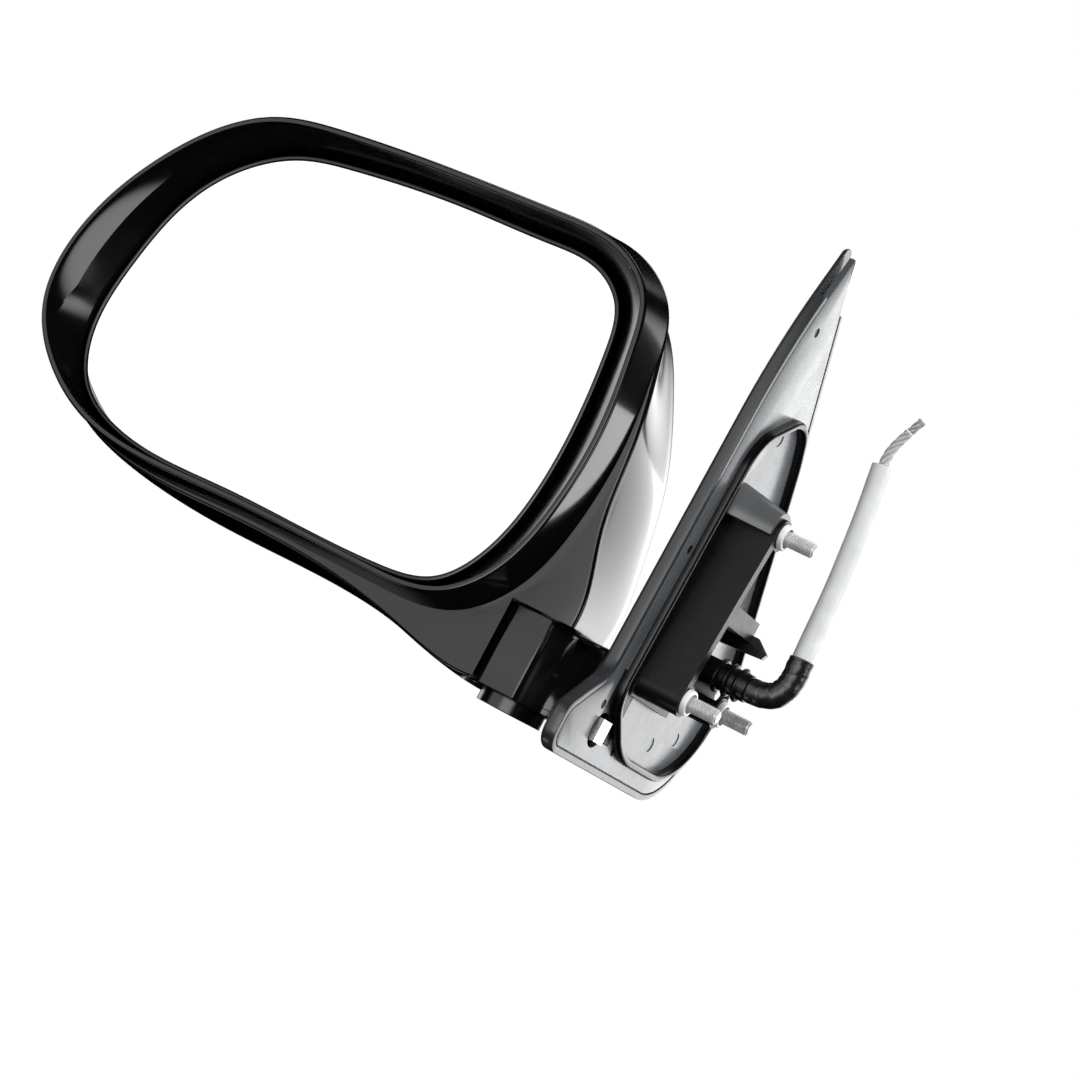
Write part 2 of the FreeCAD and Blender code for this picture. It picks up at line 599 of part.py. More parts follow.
def rib_between(first, second, half):
    """A straight rib between two (y, z) points, standing from the sail's plate to the door face."""
    start = FreeCAD.Vector(-size("plate_face"), *first)
    end = FreeCAD.Vector(-size("plate_face"), *second)
    along = (end - start).normalize()
    side = FreeCAD.Vector(0, -along.z, along.y) * half
    corners = [start + side, end + side, end - side, start - side, start + side]
    return Part.Face(Part.makePolygon(corners)).extrude(FreeCAD.Vector(size("plate_face"), 0, 0))


def base_casting():
    """Cast base: the arm in the knuckle, and the ribs and bosses that carry the studs."""
    low = -size("knuckle_bottom") + 2
    top = -size("knuckle_top")
    boss = Part.makeCylinder(size("boss_radius"), top - low, FreeCAD.Vector(axis_x, axis_y, low))
    arm = span((axis_x, -size("plate_face")), (axis_y - size("arm_half"), axis_y + size("arm_half")),
               (low, top - 4))
    root = span((-size("plate_face"), -size("plate_face") + 4),
                (STUDS["rear"][0] - size("boss_pad"), STUDS["front"][0]), (-43, top))
    half = size("rib_thick") / 2
    rear = STUDS["rear"]
    upper = STUDS["upper"]
    shift = size("boss_pad") - half
    ribs = [
        rib_between((upper[0] - shift, upper[1]), (rear[0] - shift, rear[1]), half),
        rib_between(rear, STUDS["front"], half),
        span((-size("plate_face"), 0), (rear[0], HOOK_BACK), (-size("cross_half"), size("cross_half"))),
    ]
    pads = [hole_x(y, z, size("boss_pad"), -size("plate_face"), 0) for y, z in STUDS.values()]
    body = boss.fuse([arm, root] + ribs + pads)
    roots = [hole_x(y, z, size("stud_root"), -size("stud_deep"), 0) for y, z in STUDS.values()]
    seats = [hole_x(y, z, size("boss_pad") + size("collar_sunk"), -size("collar_sunk"), 1)
             for y, z in STUDS.values()]
    post = Part.makeCylinder(size("post_radius"), 80, FreeCAD.Vector(axis_x, axis_y, low + 2))
    seat = -size("plate_face") - 3
    pocket = hole_x(*FOOT_BOLT, size("pocket_radius"), seat, 0)
    shank = hole_x(*FOOT_BOLT, size("bolt_shank"), seat - 12, 0)
    grommet = hole_x(*GROMMET, size("grommet_radius"), -size("plate_face") - 1, 0)
    return body.cut(roots + seats + [post, pocket, shank, grommet]).removeSplitter()


keep(feature("base_casting", base_casting()))


def stud_gusset():
    """Conical boss of the plate around the upper stud's casting boss."""
    y, z = STUDS["upper"]
    axis = FreeCAD.Vector(1, 0, 0)
    high = size("plate_face") - 2
    foot = FreeCAD.Vector(-size("plate_face"), y, z)
    cone = Part.makeCone(size("gusset_base"), size("gusset_top"), high, foot, axis)
    upper_half = span((-size("plate_face"), 0), (-100, 100), (z - 2, z + 100))
    core = hole_x(y, z, size("boss_pad"), -size("plate_face") - 1, 0)
    return cone.common(upper_half).cut(core).cut(base_casting())


keep(feature("stud_gusset", stud_gusset()))


def stud(name, y, z):
    """Welded-in stud: a knurled root in the boss, and a plain M6 shank out of the door face."""
    root = cylinder(f"stud_{name}_root", ("-Size.stud_deep", y, z), "Size.stud_root", "Size.stud_deep", ALONG_X)
    shank = cylinder(f"stud_{name}_shank", (0, y, z), "Size.stud_radius", "Size.stud_long - Size.stud_tip", ALONG_X)
    tip = piece("Part::Cone", f"stud_{name}_tip", ("Size.stud_long - Size.stud_tip", y, z), ALONG_X,
                Radius1="Size.stud_radius", Radius2="Size.stud_radius - Size.stud_tip", Height="Size.stud_tip")
    keep(fused(f"stud_{name}", [root, shank, tip]))


def stud_collar(name, y, z):
    """Nylon collar around a stud, seated in the shallow counterbore of its boss."""
    start = "-Size.collar_sunk"
    high = "Size.collar_thick + Size.collar_sunk"
    disc = cylinder(f"collar_{name}_disc", (start, y, z), "Size.collar_radius", high, ALONG_X)
    bore = cylinder(f"collar_{name}_bore", (start, y, z), "Size.stud_radius + Size.collar_gap", high, ALONG_X)
    keep(cut(f"collar_{name}", disc, bore))


for name, (y, z) in STUDS.items():
    stud(name, y, z)
    stud_collar(name, y, z)

bolt_seat = "-Size.plate_face - 3"
bolt_head = block("foot_bolt_head", (bolt_seat, f"{FOOT_BOLT[0]} - Size.bolt_flat / 2",
                                     f"{FOOT_BOLT[1]} - Size.bolt_flat / 2"),
                  "Size.bolt_high", "Size.bolt_flat", "Size.bolt_flat")
bolt_shank = cylinder("foot_bolt_shank", (f"{bolt_seat} - 12", *FOOT_BOLT), "Size.bolt_shank", 12, ALONG_X)
keep(fused("foot_bolt", [bolt_head, bolt_shank]))
keep(cylinder("locator_pin", ("-Size.plate_face", *PIN), "Size.pin_radius", "Size.plate_face + 1", ALONG_X))


def locating_hook():
    """Thin hooked fin that catches the door skin while the nuts go on."""
    corners = [FreeCAD.Vector(x, HOOK_BACK, z) for x, z in HOOK + HOOK[:1]]
    return Part.Face(Part.makePolygon(corners)).extrude(FreeCAD.Vector(0, size("hook_thick"), 0))


keep(feature("locating_hook", locating_hook()))


# ---------------------------------------------------------------- cable

def cable_grommet():
    """Ribbed rubber grommet from the back plate out to the cable's mouth."""
    y, z = GROMMET
    mouth = CABLE[0][0]
    body = hole_x(y, z, size("grommet_radius"), -size("plate_face"), mouth)
    ribs = []
    for index in range(int(size("grommet_ribs"))):
        start = mouth - 3 - (index + 1) * size("rib_pitch")
        if start > 0:
            ribs.append(hole_x(y, z, size("grommet_rib"), start, start + size("rib_pitch") / 2))
    return body.fuse(ribs)


def route_wire(points):
    """Straight runs joined by tangent arcs, each as large as its two runs allow."""
    places = [FreeCAD.Vector(x, GROMMET[0], z) for x, z in points]
    edges = []
    reached = places[0]
    for before, corner, after in zip(places, places[1:], places[2:]):
        into = corner - before
        out = after - corner
        half_turn = into.getAngle(out) / 2
        back = ROUTE_SHARE * min(into.Length, out.Length)
        radius = back / math.tan(half_turn)
        into.normalize()
        out.normalize()
        start = corner - into * back
        end = corner + out * back
        inward = (out - into).normalize()
        middle = corner + inward * (radius / math.cos(half_turn) - radius)
        edges.append(Part.LineSegment(reached, start).toShape())
        edges.append(Part.Arc(start, middle, end).toShape())
        reached = end
        print(f"cable bend radius {radius:.1f} mm")
    edges.append(Part.LineSegment(reached, places[-1]).toShape())
    return Part.Wire(edges)


def tube(points, radius):
    """A round tube along a route."""
    path = route_wire(points)
    start = FreeCAD.Vector(points[0][0], GROMMET[0], points[0][1])
    along = FreeCAD.Vector(points[1][0], GROMMET[0], points[1][1]) - start
    section = Part.Wire(Part.makeCircle(radius, start, along))
    solid = path.makePipeShell([section], True, True)
    print(f"tube volume over section times length {solid.Volume / (math.pi * radius ** 2 * path.Length):.4f}")
    return solid


cable = tube(CABLE, size("cable_radius"))
wrap_bore = tube(CABLE[:WRAP_POINTS], size("cable_radius") + size("wrap_gap"))
wrap = tube(CABLE[:WRAP_POINTS], size("cable_radius") + size("wrap_thick"))
keep(feature("cable_grommet", cable_grommet()))
keep(feature("cable_wrap", wrap.cut(wrap_bore)))
keep(feature("cable_sleeve", cable))
keep(feature("wire_tails", tube(WIRES, size("wire_radius"))))


# ---------------------------------------------------------------- check and write

doc.recompute()
faults = [made.Label for made in doc.Objects if {"Invalid", "Error"} & set(made.State)]
faults += [made.Label for made in nodes if made.Shape.isNull() or not made.Shape.isValid()]
faults += [made.Label for made in nodes if len(made.Shape.Solids) != 1]
if faults:
    raise ValueError(f"these objects failed: {faults}")
os.makedirs("parts", exist_ok=True)
for made in nodes:
    made.Shape.exportStep(f"parts/{made.Label}.step")
print(f"wrote {len(nodes)} sub-parts")
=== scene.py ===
import bmesh
import bpy
import numpy as np
from mathutils import Matrix, Vector


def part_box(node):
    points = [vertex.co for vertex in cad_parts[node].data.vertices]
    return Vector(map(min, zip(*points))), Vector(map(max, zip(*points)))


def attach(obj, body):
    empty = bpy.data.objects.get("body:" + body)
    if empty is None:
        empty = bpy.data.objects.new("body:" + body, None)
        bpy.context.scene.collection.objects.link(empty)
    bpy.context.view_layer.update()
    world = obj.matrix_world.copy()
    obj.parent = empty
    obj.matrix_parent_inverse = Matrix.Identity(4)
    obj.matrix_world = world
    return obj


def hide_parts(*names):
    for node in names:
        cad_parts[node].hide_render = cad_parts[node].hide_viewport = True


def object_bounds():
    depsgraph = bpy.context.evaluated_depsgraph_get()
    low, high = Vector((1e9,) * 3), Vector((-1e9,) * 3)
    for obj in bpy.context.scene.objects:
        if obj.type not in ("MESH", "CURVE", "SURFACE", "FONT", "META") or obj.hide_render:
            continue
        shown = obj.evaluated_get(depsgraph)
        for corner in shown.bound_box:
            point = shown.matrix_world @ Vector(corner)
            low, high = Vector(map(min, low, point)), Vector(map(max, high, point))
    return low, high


# The looks of a left-hand car side mirror with power glass and a folding head. Blender's units are
# metres; the shapes here are worked out in millimetres and scaled as they become meshes.
# +X points inboard, +Y forward, +Z up, and the glass looks back along -Y.

MM = 0.001
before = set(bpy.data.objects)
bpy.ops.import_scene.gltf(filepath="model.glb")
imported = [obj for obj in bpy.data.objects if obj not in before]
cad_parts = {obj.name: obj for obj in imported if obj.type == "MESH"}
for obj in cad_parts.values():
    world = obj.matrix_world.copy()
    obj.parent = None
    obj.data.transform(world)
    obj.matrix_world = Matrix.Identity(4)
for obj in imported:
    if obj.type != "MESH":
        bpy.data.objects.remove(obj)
cad_low, cad_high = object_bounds()


def box_mm(node):
    """A node's lowest and highest corners at rest, in millimetres."""
    low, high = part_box(node)
    return np.array(low) / MM, np.array(high) / MM


# ---------------------------------------------------------------- camera
# A long lens from behind and inboard, a little below the glass, with the mirror tipped in the picture.

TURN, RISE, ROLL = np.radians((25.0, -4.0, 28.0))
CAMERA_PLACE = (0.3938, -1.0375, -0.0851)
back = np.array([np.sin(TURN) * np.cos(RISE), -np.cos(TURN) * np.cos(RISE), np.sin(RISE)])
level = np.array([np.cos(TURN), np.sin(TURN), 0.0])
upright = np.cross(back, level)
right = np.cos(ROLL) * level + np.sin(ROLL) * upright
up = np.cos(ROLL) * upright - np.sin(ROLL) * level
camera_turn = Matrix([[right[i], up[i], back[i]] for i in range(3)]).to_4x4()
camera = bpy.data.objects.new("camera", bpy.data.cameras.new("camera"))
camera.data.lens = 100.0
camera.data.sensor_width = 36.0
camera.matrix_world = Matrix.Translation(CAMERA_PLACE) @ camera_turn
bpy.context.scene.collection.objects.link(camera)
bpy.context.scene.camera = camera


# ---------------------------------------------------------------- cable sleeve
# The pale extruded sleeve over the motor wires, which stands up from the grommet in a limp curve.
# It is soft PVC, cut square at its top end, where the wires come out of it.

GROMMET_Y = 2.0
CABLE = [(13.0, -20.5), (21.5, -20.5), (26.5, -13.0), (25.7, -2.0), (24.9, 18.0), (22.8, 47.0), (18.6, 75.5)]
SLEEVE_RADIUS = 4.25
SLEEVE_WALL = 0.8


def linear(code):
    """An sRGB hex colour as the linear RGBA that the shaders take."""
    parts = np.array([int(code[i:i + 2], 16) for i in (1, 3, 5)]) / 255
    parts = np.where(parts > 0.04045, ((parts + 0.055) / 1.055) ** 2.4, parts / 12.92)
    return [*parts.tolist(), 1.0]


def add(tree, kind, **settings):
    """A node whose capitalised settings are sockets, linked or set, and whose others are properties."""
    made = tree.nodes.new("ShaderNode" + kind)
    for name, value in settings.items():
        if name[0].islower():
            setattr(made, name, value)
            continue
        socket = made.inputs[name.replace("_", " ")]
        if isinstance(value, bpy.types.NodeSocket):
            tree.links.new(value, socket)
        else:
            socket.default_value = value
    return made


def material(name, **shader_settings):
    """An empty material with one Principled shader, returned with its node tree."""
    made = bpy.data.materials.new(name)
    made.use_nodes = True
    tree = made.node_tree
    shader = tree.nodes["Principled BSDF"]
    for socket, value in shader_settings.items():
        shader.inputs[socket.replace("_", " ")].default_value = value
    return made, tree, shader


def two_tone(tree, shader, factor, first, second):
    """Base colour that runs from the first hex colour to the second with a 0 to 1 factor."""
    mix = add(tree, "Mix", data_type="RGBA")
    tree.links.new(factor, mix.inputs["Factor"])
    mix.inputs[6].default_value = linear(first)
    mix.inputs[7].default_value = linear(second)
    tree.links.new(mix.outputs[2], shader.inputs["Base Color"])


def vary_gloss(tree, shader, factor, low, high):
    """Roughness between low and high with a factor."""
    spread = add(tree, "MapRange", Value=factor, To_Min=low, To_Max=high)
    tree.links.new(spread.outputs["Result"], shader.inputs["Roughness"])


def relief(tree, shader, height, depth_mm, strength=0.5):
    """Bump of one depth in millimetres from a 0 to 1 height."""
    bump = add(tree, "Bump", Height=height, Distance=depth_mm * MM, Strength=strength)
    tree.links.new(bump.outputs["Normal"], shader.inputs["Normal"])


def mottle(tree, size_mm, detail=4.0, stretch=(1.0, 1.0, 1.0)):
    """Fine noise over the piece, its features size_mm across, stretched along an axis by a small scale."""
    place = add(tree, "TexCoord").outputs["Object"]
    scaled = add(tree, "Mapping", Vector=place, Scale=stretch)
    return add(tree, "TexNoise", Vector=scaled.outputs["Vector"], Scale=1 / (size_mm * MM), Detail=detail,
               Roughness=0.55).outputs["Fac"]


def give(piece, made):
    """Replace every material slot of a piece with one material."""
    piece.data.materials.clear()
    piece.data.materials.append(made)


def dress_node(name, made):
    """Give a CAD node's own object a material."""
    give(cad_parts[name], made)


def quads(rows, columns, ring=False):
    """Faces of a grid of points whose columns run round a loop, and whose rows do too in a ring."""
    row, column = np.meshgrid(np.arange(rows - (0 if ring else 1)), np.arange(columns), indexing="ij")
    here, there = row * columns, (row + 1) % rows * columns
    beside = (column + 1) % columns
    return np.stack([here + column, here + beside, there + beside, there + column], -1).reshape(-1, 4)


def mesh_piece(name, points, faces):
    """A new object from points in millimetres and faces, all turned to face outwards."""
    mesh = bpy.data.meshes.new(name)
    mesh.from_pydata((np.asarray(points) * MM).tolist(), [], faces)
    work = bmesh.new()
    work.from_mesh(mesh)
    bmesh.ops.recalc_face_normals(work, faces=work.faces)
    work.to_mesh(mesh)
    work.free()
    piece = bpy.data.objects.new(name, mesh)
    bpy.context.scene.collection.objects.link(piece)
    return piece


def smooth(piece, crease=35.0):
    """Shade a piece smooth but for edges sharper than crease degrees."""
    piece.data.shade_smooth()
    piece.data.set_sharp_from_angle(angle=np.radians(crease))
    return piece


def skin(name, *shapes, ring=False, crease=35.0):
    """Closed surfaces over grids of points: each a row of loops with flat ends, or a ring of loops."""
    points = np.concatenate([shape.reshape(-1, 3) for shape in shapes])
    faces, start = [], 0
    for shape in shapes:
        rows, columns = shape.shape[:2]
        faces += (quads(rows, columns, ring) + start).tolist()
        if not ring:
            faces.append((np.arange(columns) + start).tolist())
            faces.append((np.arange(columns) + start + (rows - 1) * columns).tolist())
        start += rows * columns
    return smooth(mesh_piece(name, points, faces), crease)


def finish(piece, made, body, slot, *replaced):
    """Give a piece its material and body, and hide the CAD nodes that it stands for. The slot is not used.
    """
    give(piece, made)
    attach(piece, body)
    if replaced:
        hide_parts(*replaced)
    return piece


def route(name, corners, step):
    """Points a step apart along the NURBS line of order 3 whose control points are (x, z) corners."""
    line = bpy.data.curves.new(name, "CURVE")
    line.dimensions = "3D"
    line.resolution_u = 32
    spline = line.splines.new("NURBS")
    spline.points.add(len(corners) - 1)
    for point, (x, z) in zip(spline.points, corners):
        point.co = (x * MM, GROMMET_Y * MM, z * MM, 1.0)
    spline.order_u = 3
    spline.use_endpoint_u = True
    holder = bpy.data.objects.new(name, line)
    bpy.context.scene.collection.objects.link(holder)
    bpy.context.view_layer.update()
    mesh = bpy.data.meshes.new_from_object(holder)
    read = np.empty(len(mesh.vertices) * 3)
    mesh.vertices.foreach_get("co", read)
    bpy.data.objects.remove(holder)
    bpy.data.meshes.remove(mesh)
    read = read.reshape(-1, 3) / MM
    along = np.r_[0, np.cumsum(np.linalg.norm(np.diff(read, axis=0), axis=1))]
    even = np.linspace(0, along[-1], int(along[-1] / step) + 1)
    return np.stack([np.interp(even, along, read[:, axis]) for axis in range(3)], -1)


def across(path):
    """Unit vectors square to a path that lies in one y plane, in that plane."""
    tangent = np.gradient(path, axis=0)
    tangent /= np.linalg.norm(tangent, axis=1, keepdims=True)
    return np.cross((0.0, 1.0, 0.0), tangent)


def tube(path, side, radius, columns=32):
    """Loops round a path: side and +Y span each loop, and radius is one number, one a row, or a grid."""
    turn = np.linspace(0, 2 * np.pi, columns, endpoint=False)
    ring = (side[:, None] * np.cos(turn)[None, :, None]
            + np.array([0.0, 1.0, 0.0]) * np.sin(turn)[None, :, None])
    radius = np.broadcast_to(np.reshape(radius, (-1, 1) if np.ndim(radius) < 2 else np.shape(radius)),
                             (len(path), columns))
    return path[:, None] + ring * radius[..., None]


cable_path = route("cable_route", CABLE, 1.0)
cable_side = across(cable_path)
waver = SLEEVE_RADIUS - 0.06 + 0.06 * np.sin(cable_path[:, 2] / 5.2)
mouth_steps = np.array([0.0, -0.35, -0.9, -6.0])
mouth_radii = SLEEVE_RADIUS - np.array([0.25, SLEEVE_WALL, SLEEVE_WALL + 0.1, SLEEVE_WALL + 0.1])
end_along = cable_path[-1] - cable_path[-2]
mouth_path = cable_path[-1] + mouth_steps[:, None] * end_along / np.linalg.norm(end_along)
mouth_side = np.repeat(cable_side[-1:], 4, axis=0)
sleeve = skin("cable_sleeve_tube", np.concatenate([
    tube(cable_path, cable_side, waver), tube(mouth_path, mouth_side, mouth_radii)]))


def sleeve_pvc():
    """Pale soft PVC: a dull sheen, long faint extrusion streaks and handling smudges."""
    made, tree, shader = material("sleeve_soft_pvc", Specular_IOR_Level=0.4)
    streaks = mottle(tree, 1.2, stretch=(1.0, 1.0, 0.06))
    two_tone(tree, shader, mottle(tree, 9.0), "#C4C6C8", "#E9EAEA")
    vary_gloss(tree, shader, streaks, 0.34, 0.55)
    relief(tree, shader, streaks, 0.15)
    return made


finish(sleeve, sleeve_pvc(), "base", "sleeve_pale", "cable_sleeve")


# ---------------------------------------------------------------- cable wrap
# Black adhesive cloth tape wound over the sleeve where it leaves the grommet, two turns thick at
# the bend. Each turn laps half of the last one, which leaves a low spiral step.

TAPE_THICK = 0.6
TAPE_PITCH = 5.5
WRAP_TOP = -2.0

wrap_path = route("wrap_route", CABLE, 0.35)
wrap_path = wrap_path[:int(np.argmax(wrap_path[:, 2] > WRAP_TOP)) + 1]
wrap_side = across(wrap_path)
wrap_along = np.r_[0, np.cumsum(np.linalg.norm(np.diff(wrap_path, axis=0), axis=1))]
wrap_turn = np.linspace(0, 1, 48, endpoint=False)
lap = (wrap_along[:, None] / TAPE_PITCH - wrap_turn[None, :]) % 1.0
crumple = 0.10 * np.sin(wrap_along[:, None] * 1.7 + 9 * wrap_turn) * np.sin(4 * np.pi * wrap_turn)
wrap_radius = SLEEVE_RADIUS + TAPE_THICK + 0.15 * lap ** 3 + crumple
wrap_radius[[0, -1]] = SLEEVE_RADIUS - 0.1
wrap = skin("cable_tape_wrap", tube(wrap_path, wrap_side, wrap_radius, 48), crease=50.0)


def cloth_tape():
    """Black cloth tape: a fine thread weave with a soft shine on its plastic coat."""
    made, tree, shader = material("wrap_cloth_tape", Coat_Weight=0.4, Coat_Roughness=0.25)
    weave = mottle(tree, 0.5, 2.0)
    two_tone(tree, shader, weave, "#0A0A0B", "#1B1B1D")
    vary_gloss(tree, shader, mottle(tree, 3.0), 0.22, 0.48)
    relief(tree, shader, weave, 0.12)
    return made


finish(wrap, cloth_tape(), "base", "wrap_black", "cable_wrap")


# ---------------------------------------------------------------- wire tails
# Five thin insulated wires twisted together beyond the sleeve, their ends stripped for a plug.
# The insulation is pale PVC, and the bare strands are tinned copper.

WIRES = [(18.6, 75.5), (17.9, 80.3), (20.6, 88.9), (24.2, 97.0)]
WIRE_RADIUS = 0.78
TWIST_RADIUS = 1.3
TWISTS = 1.35
STRIPPED = 0.72

wire_path = route("wire_route", WIRES, 0.4)
wire_side = across(wire_path)
wire_share = np.linspace(0, 1, len(wire_path))


def twisted(path, side, share, phase, spread):
    """A path wound round another: it circles at the spread's distance as the share goes from 0 to 1."""
    angle = 2 * np.pi * (phase + TWISTS * share)
    out = side * np.cos(angle)[:, None] + np.array([0.0, 1.0, 0.0]) * np.sin(angle)[:, None]
    return path + out * np.reshape(spread, (-1, 1))


insulated, bare = [], []
covered = wire_share <= STRIPPED
inside = wire_path[:1] - (wire_path[1:2] - wire_path[:1]) * np.array([[12.0], [6.0], [1.0]])
inside_side = np.repeat(wire_side[:1], 3, axis=0)
for number in range(5):
    phase = number / 5
    lead = twisted(inside, inside_side, np.zeros(3), phase, TWIST_RADIUS)
    core = twisted(wire_path, wire_side, wire_share, phase, TWIST_RADIUS * (1 - 0.25 * wire_share))
    insulated.append(tube(np.concatenate([lead, core[covered]]),
                          np.concatenate([inside_side, wire_side[covered]]), WIRE_RADIUS, 14))
    stripped = ~covered
    for strand in range(4):
        angle = 2 * np.pi * (strand / 4 + 0.1 * number) + 3.0 * (wire_share[stripped] - STRIPPED)
        fray = 0.34 + 0.9 * np.clip(wire_share[stripped] - 0.84, 0, 1)
        offset = (wire_side[stripped] * np.cos(angle)[:, None]
                  + np.array([0.0, 1.0, 0.0]) * np.sin(angle)[:, None]) * fray[:, None]
        bare.append(tube(core[stripped] + offset, wire_side[stripped], 0.27, 8))
wires = skin("wire_insulation", *insulated)
strands = skin("wire_bare_strands", *bare)


def wire_pvc():
    """Thin pale insulation: smooth PVC with a light shine and faint grey smudges."""
    made, tree, shader = material("wire_thin_insulation", Specular_IOR_Level=0.6)
    two_tone(tree, shader, mottle(tree, 2.5), "#8E9092", "#D9DADA")
    vary_gloss(tree, shader, mottle(tree, 1.0), 0.2, 0.4)
    return made


def tinned_copper():
    """Tinned copper strands: bright cold grey metal with duller drawn streaks."""
    made, tree, shader = material("wire_tinned_copper", Metallic=0.35)
    two_tone(tree, shader, mottle(tree, 1.5), "#8A8A86", "#E4E3DE")
    vary_gloss(tree, shader, mottle(tree, 0.4), 0.2, 0.45)
    return made


finish(wires, wire_pvc(), "base", "tinned_wire", "wire_tails")
finish(strands, tinned_copper(), "base", "tinned_wire")


# ---------------------------------------------------------------- grommet
# Black rubber grommet moulded round the cable, with four soft ribs that grip the hole in the door.
# Its root sits in the casting.

grommet_low, grommet_high = box_mm("cable_grommet")
GROMMET_CORE = 5.4
RIB_HIGH = 1.4
RIB_PITCH = 4.4


def turned(name, profile, centre, columns=72, crease=35.0):
    """A piece turned about the X axis: (x, radius) profile points round a (y, z) centre, ends flat."""
    profile = np.asarray(profile, float)
    turn = np.linspace(0, 2 * np.pi, columns, endpoint=False)
    rows = np.stack([
        np.repeat(profile[:, :1], columns, axis=1),
        centre[0] + profile[:, 1:] * np.cos(turn),
        centre[1] + profile[:, 1:] * np.sin(turn)], -1)
    return skin(name, rows, crease=crease)


def softened(profile, radius, steps=4):
    """An open profile whose inner corners are rounded: each is replaced by a quadratic curve that
    leaves and meets its two runs one radius away, or half a short run."""
    profile = np.asarray(profile, float)
    points = [profile[:1]]
    share = np.linspace(0, 1, steps + 1)[:, None]
    for before, corner, after in zip(profile, profile[1:], profile[2:]):
        into, out = before - corner, after - corner
        first = corner + into * min(radius / np.linalg.norm(into), 0.5)
        last = corner + out * min(radius / np.linalg.norm(out), 0.5)
        points.append((1 - share) ** 2 * first + 2 * share * (1 - share) * corner + share ** 2 * last)
    points.append(profile[-1:])
    return np.concatenate(points)


grommet_x = np.linspace(grommet_low[0], grommet_high[0], 150)
rib_wave = np.clip(np.cos(2 * np.pi * (grommet_high[0] - 4.1 - grommet_x) / RIB_PITCH), 0, 1) ** 0.6
rib_wave = np.where((grommet_x > -0.5) & (grommet_x < grommet_high[0] - 1.6), rib_wave, 0)
grommet_profile = np.stack([grommet_x, GROMMET_CORE - 0.05 + RIB_HIGH * rib_wave], -1)
grommet_profile[-1, 1] -= 0.8
grommet_profile[-2, 1] -= 0.25
grommet = turned("cable_rubber_grommet", grommet_profile,
                 (GROMMET_Y, (grommet_low[2] + grommet_high[2]) / 2), crease=60.0)


def rubber(name, dark, light, low, high):
    """Black moulded rubber: a fine tooled grain, a soft waxy shine and paler bloom."""
    made, tree, shader = material(name, Specular_IOR_Level=0.45)
    grain = mottle(tree, 0.35, 3.0)
    two_tone(tree, shader, mottle(tree, 6.0), dark, light)
    vary_gloss(tree, shader, mottle(tree, 2.2), low, high)
    relief(tree, shader, grain, 0.05)
    return made


grommet_rubber = rubber("grommet_rubber", "#050505", "#101011", 0.22, 0.4)
finish(grommet, grommet_rubber, "base", "rubber_black", "cable_grommet")


# ---------------------------------------------------------------- base casting
# Zinc die casting, painted black: the arm in the knuckle, the ribs and bosses behind the door, and
# the conical gusset that backs the upper stud. The CAD's own shapes are kept.

def painted_casting():
    """Black paint over a cast skin: a slightly pebbled face with worn, paler high spots."""
    made, tree, shader = material("casting_black_paint", Specular_IOR_Level=0.22)
    pebble = mottle(tree, 1.1, 5.0)
    two_tone(tree, shader, mottle(tree, 7.0), "#070708", "#161617")
    vary_gloss(tree, shader, mottle(tree, 4.0), 0.25, 0.45)
    relief(tree, shader, pebble, 0.12)
    return made


casting_paint = painted_casting()
dress_node("base_casting", casting_paint)


def moulded_grey(name, dark, light, low, high):
    """Mid-grey moulded nylon: broad flow marks, fine pitting and an uneven shine."""
    made, tree, shader = material(name, Specular_IOR_Level=0.6)
    flow = mottle(tree, 22.0, 3.0, stretch=(1.0, 1.0, 0.4))
    two_tone(tree, shader, flow, dark, light)
    vary_gloss(tree, shader, mottle(tree, 5.0), low, high)
    relief(tree, shader, mottle(tree, 0.5, 3.0), 0.05)
    return made


gusset_grey = moulded_grey("gusset_moulded_grey", "#3A3B3C", "#6A6C6E", 0.24, 0.4)
dress_node("stud_gusset", gusset_grey)


# ---------------------------------------------------------------- studs
# Three M6 studs of zinc-plated steel, welded into the casting. Their threads are rolled, and the end
# of each has a small lead-in cone.

STUDS = ("upper", "rear", "front")
STUD_RADIUS = 3.0
STUD_PITCH = 1.0
THREAD_DEEP = 0.42
COLLAR_TOP = 2.2
COLLAR_BORE = 3.85


def stud_piece(name):
    """A threaded rod along X: its radius falls from the crest to the root and back once a pitch, and the
    ridge moves on by one pitch a turn; the plain root runs back into the boss."""
    low, high = box_mm(f"stud_{name}")
    centre_y, centre_z = (low[1:] + high[1:]) / 2
    x = np.r_[low[0], -0.2, 0.0, np.linspace(COLLAR_TOP - 1.5, high[0], 110)]
    turn = np.linspace(0, 1, 48, endpoint=False)
    ridge = np.abs((x[:, None] / STUD_PITCH - turn) % 1.0 - 0.5) * 2
    radius = STUD_RADIUS - THREAD_DEEP * ridge
    radius[0:2] = (high[1] - low[1]) / 2 - 0.02
    radius[2] = STUD_RADIUS
    lead_in = np.clip((x - (high[0] - 0.9)) / 0.9, 0, 1)[:, None]
    radius = radius - 0.75 * lead_in
    rows = np.stack([
        np.broadcast_to(x[:, None], radius.shape),
        centre_y + radius * np.cos(2 * np.pi * turn),
        centre_z + radius * np.sin(2 * np.pi * turn)], -1)
    return skin(f"stud_{name}_threaded", rows, crease=70.0)


def zinc_plate():
    """Bright zinc plate: cold silver with cloudy dulling and fine drawn scratches."""
    made, tree, shader = material("stud_zinc_plate", Metallic=0.3)
    two_tone(tree, shader, mottle(tree, 3.0), "#A3A5A6", "#F2F3F3")
    vary_gloss(tree, shader, mottle(tree, 0.7, stretch=(0.2, 1.0, 1.0)), 0.22, 0.42)
    return made


def white_nylon():
    """Natural white nylon: bright, slightly waxy, with faint cream mottling."""
    made, tree, shader = material("collar_white_nylon", Specular_IOR_Level=0.55)
    two_tone(tree, shader, mottle(tree, 2.0), "#E2E2DF", "#F8F8F6")
    vary_gloss(tree, shader, mottle(tree, 1.0), 0.25, 0.42)
    return made


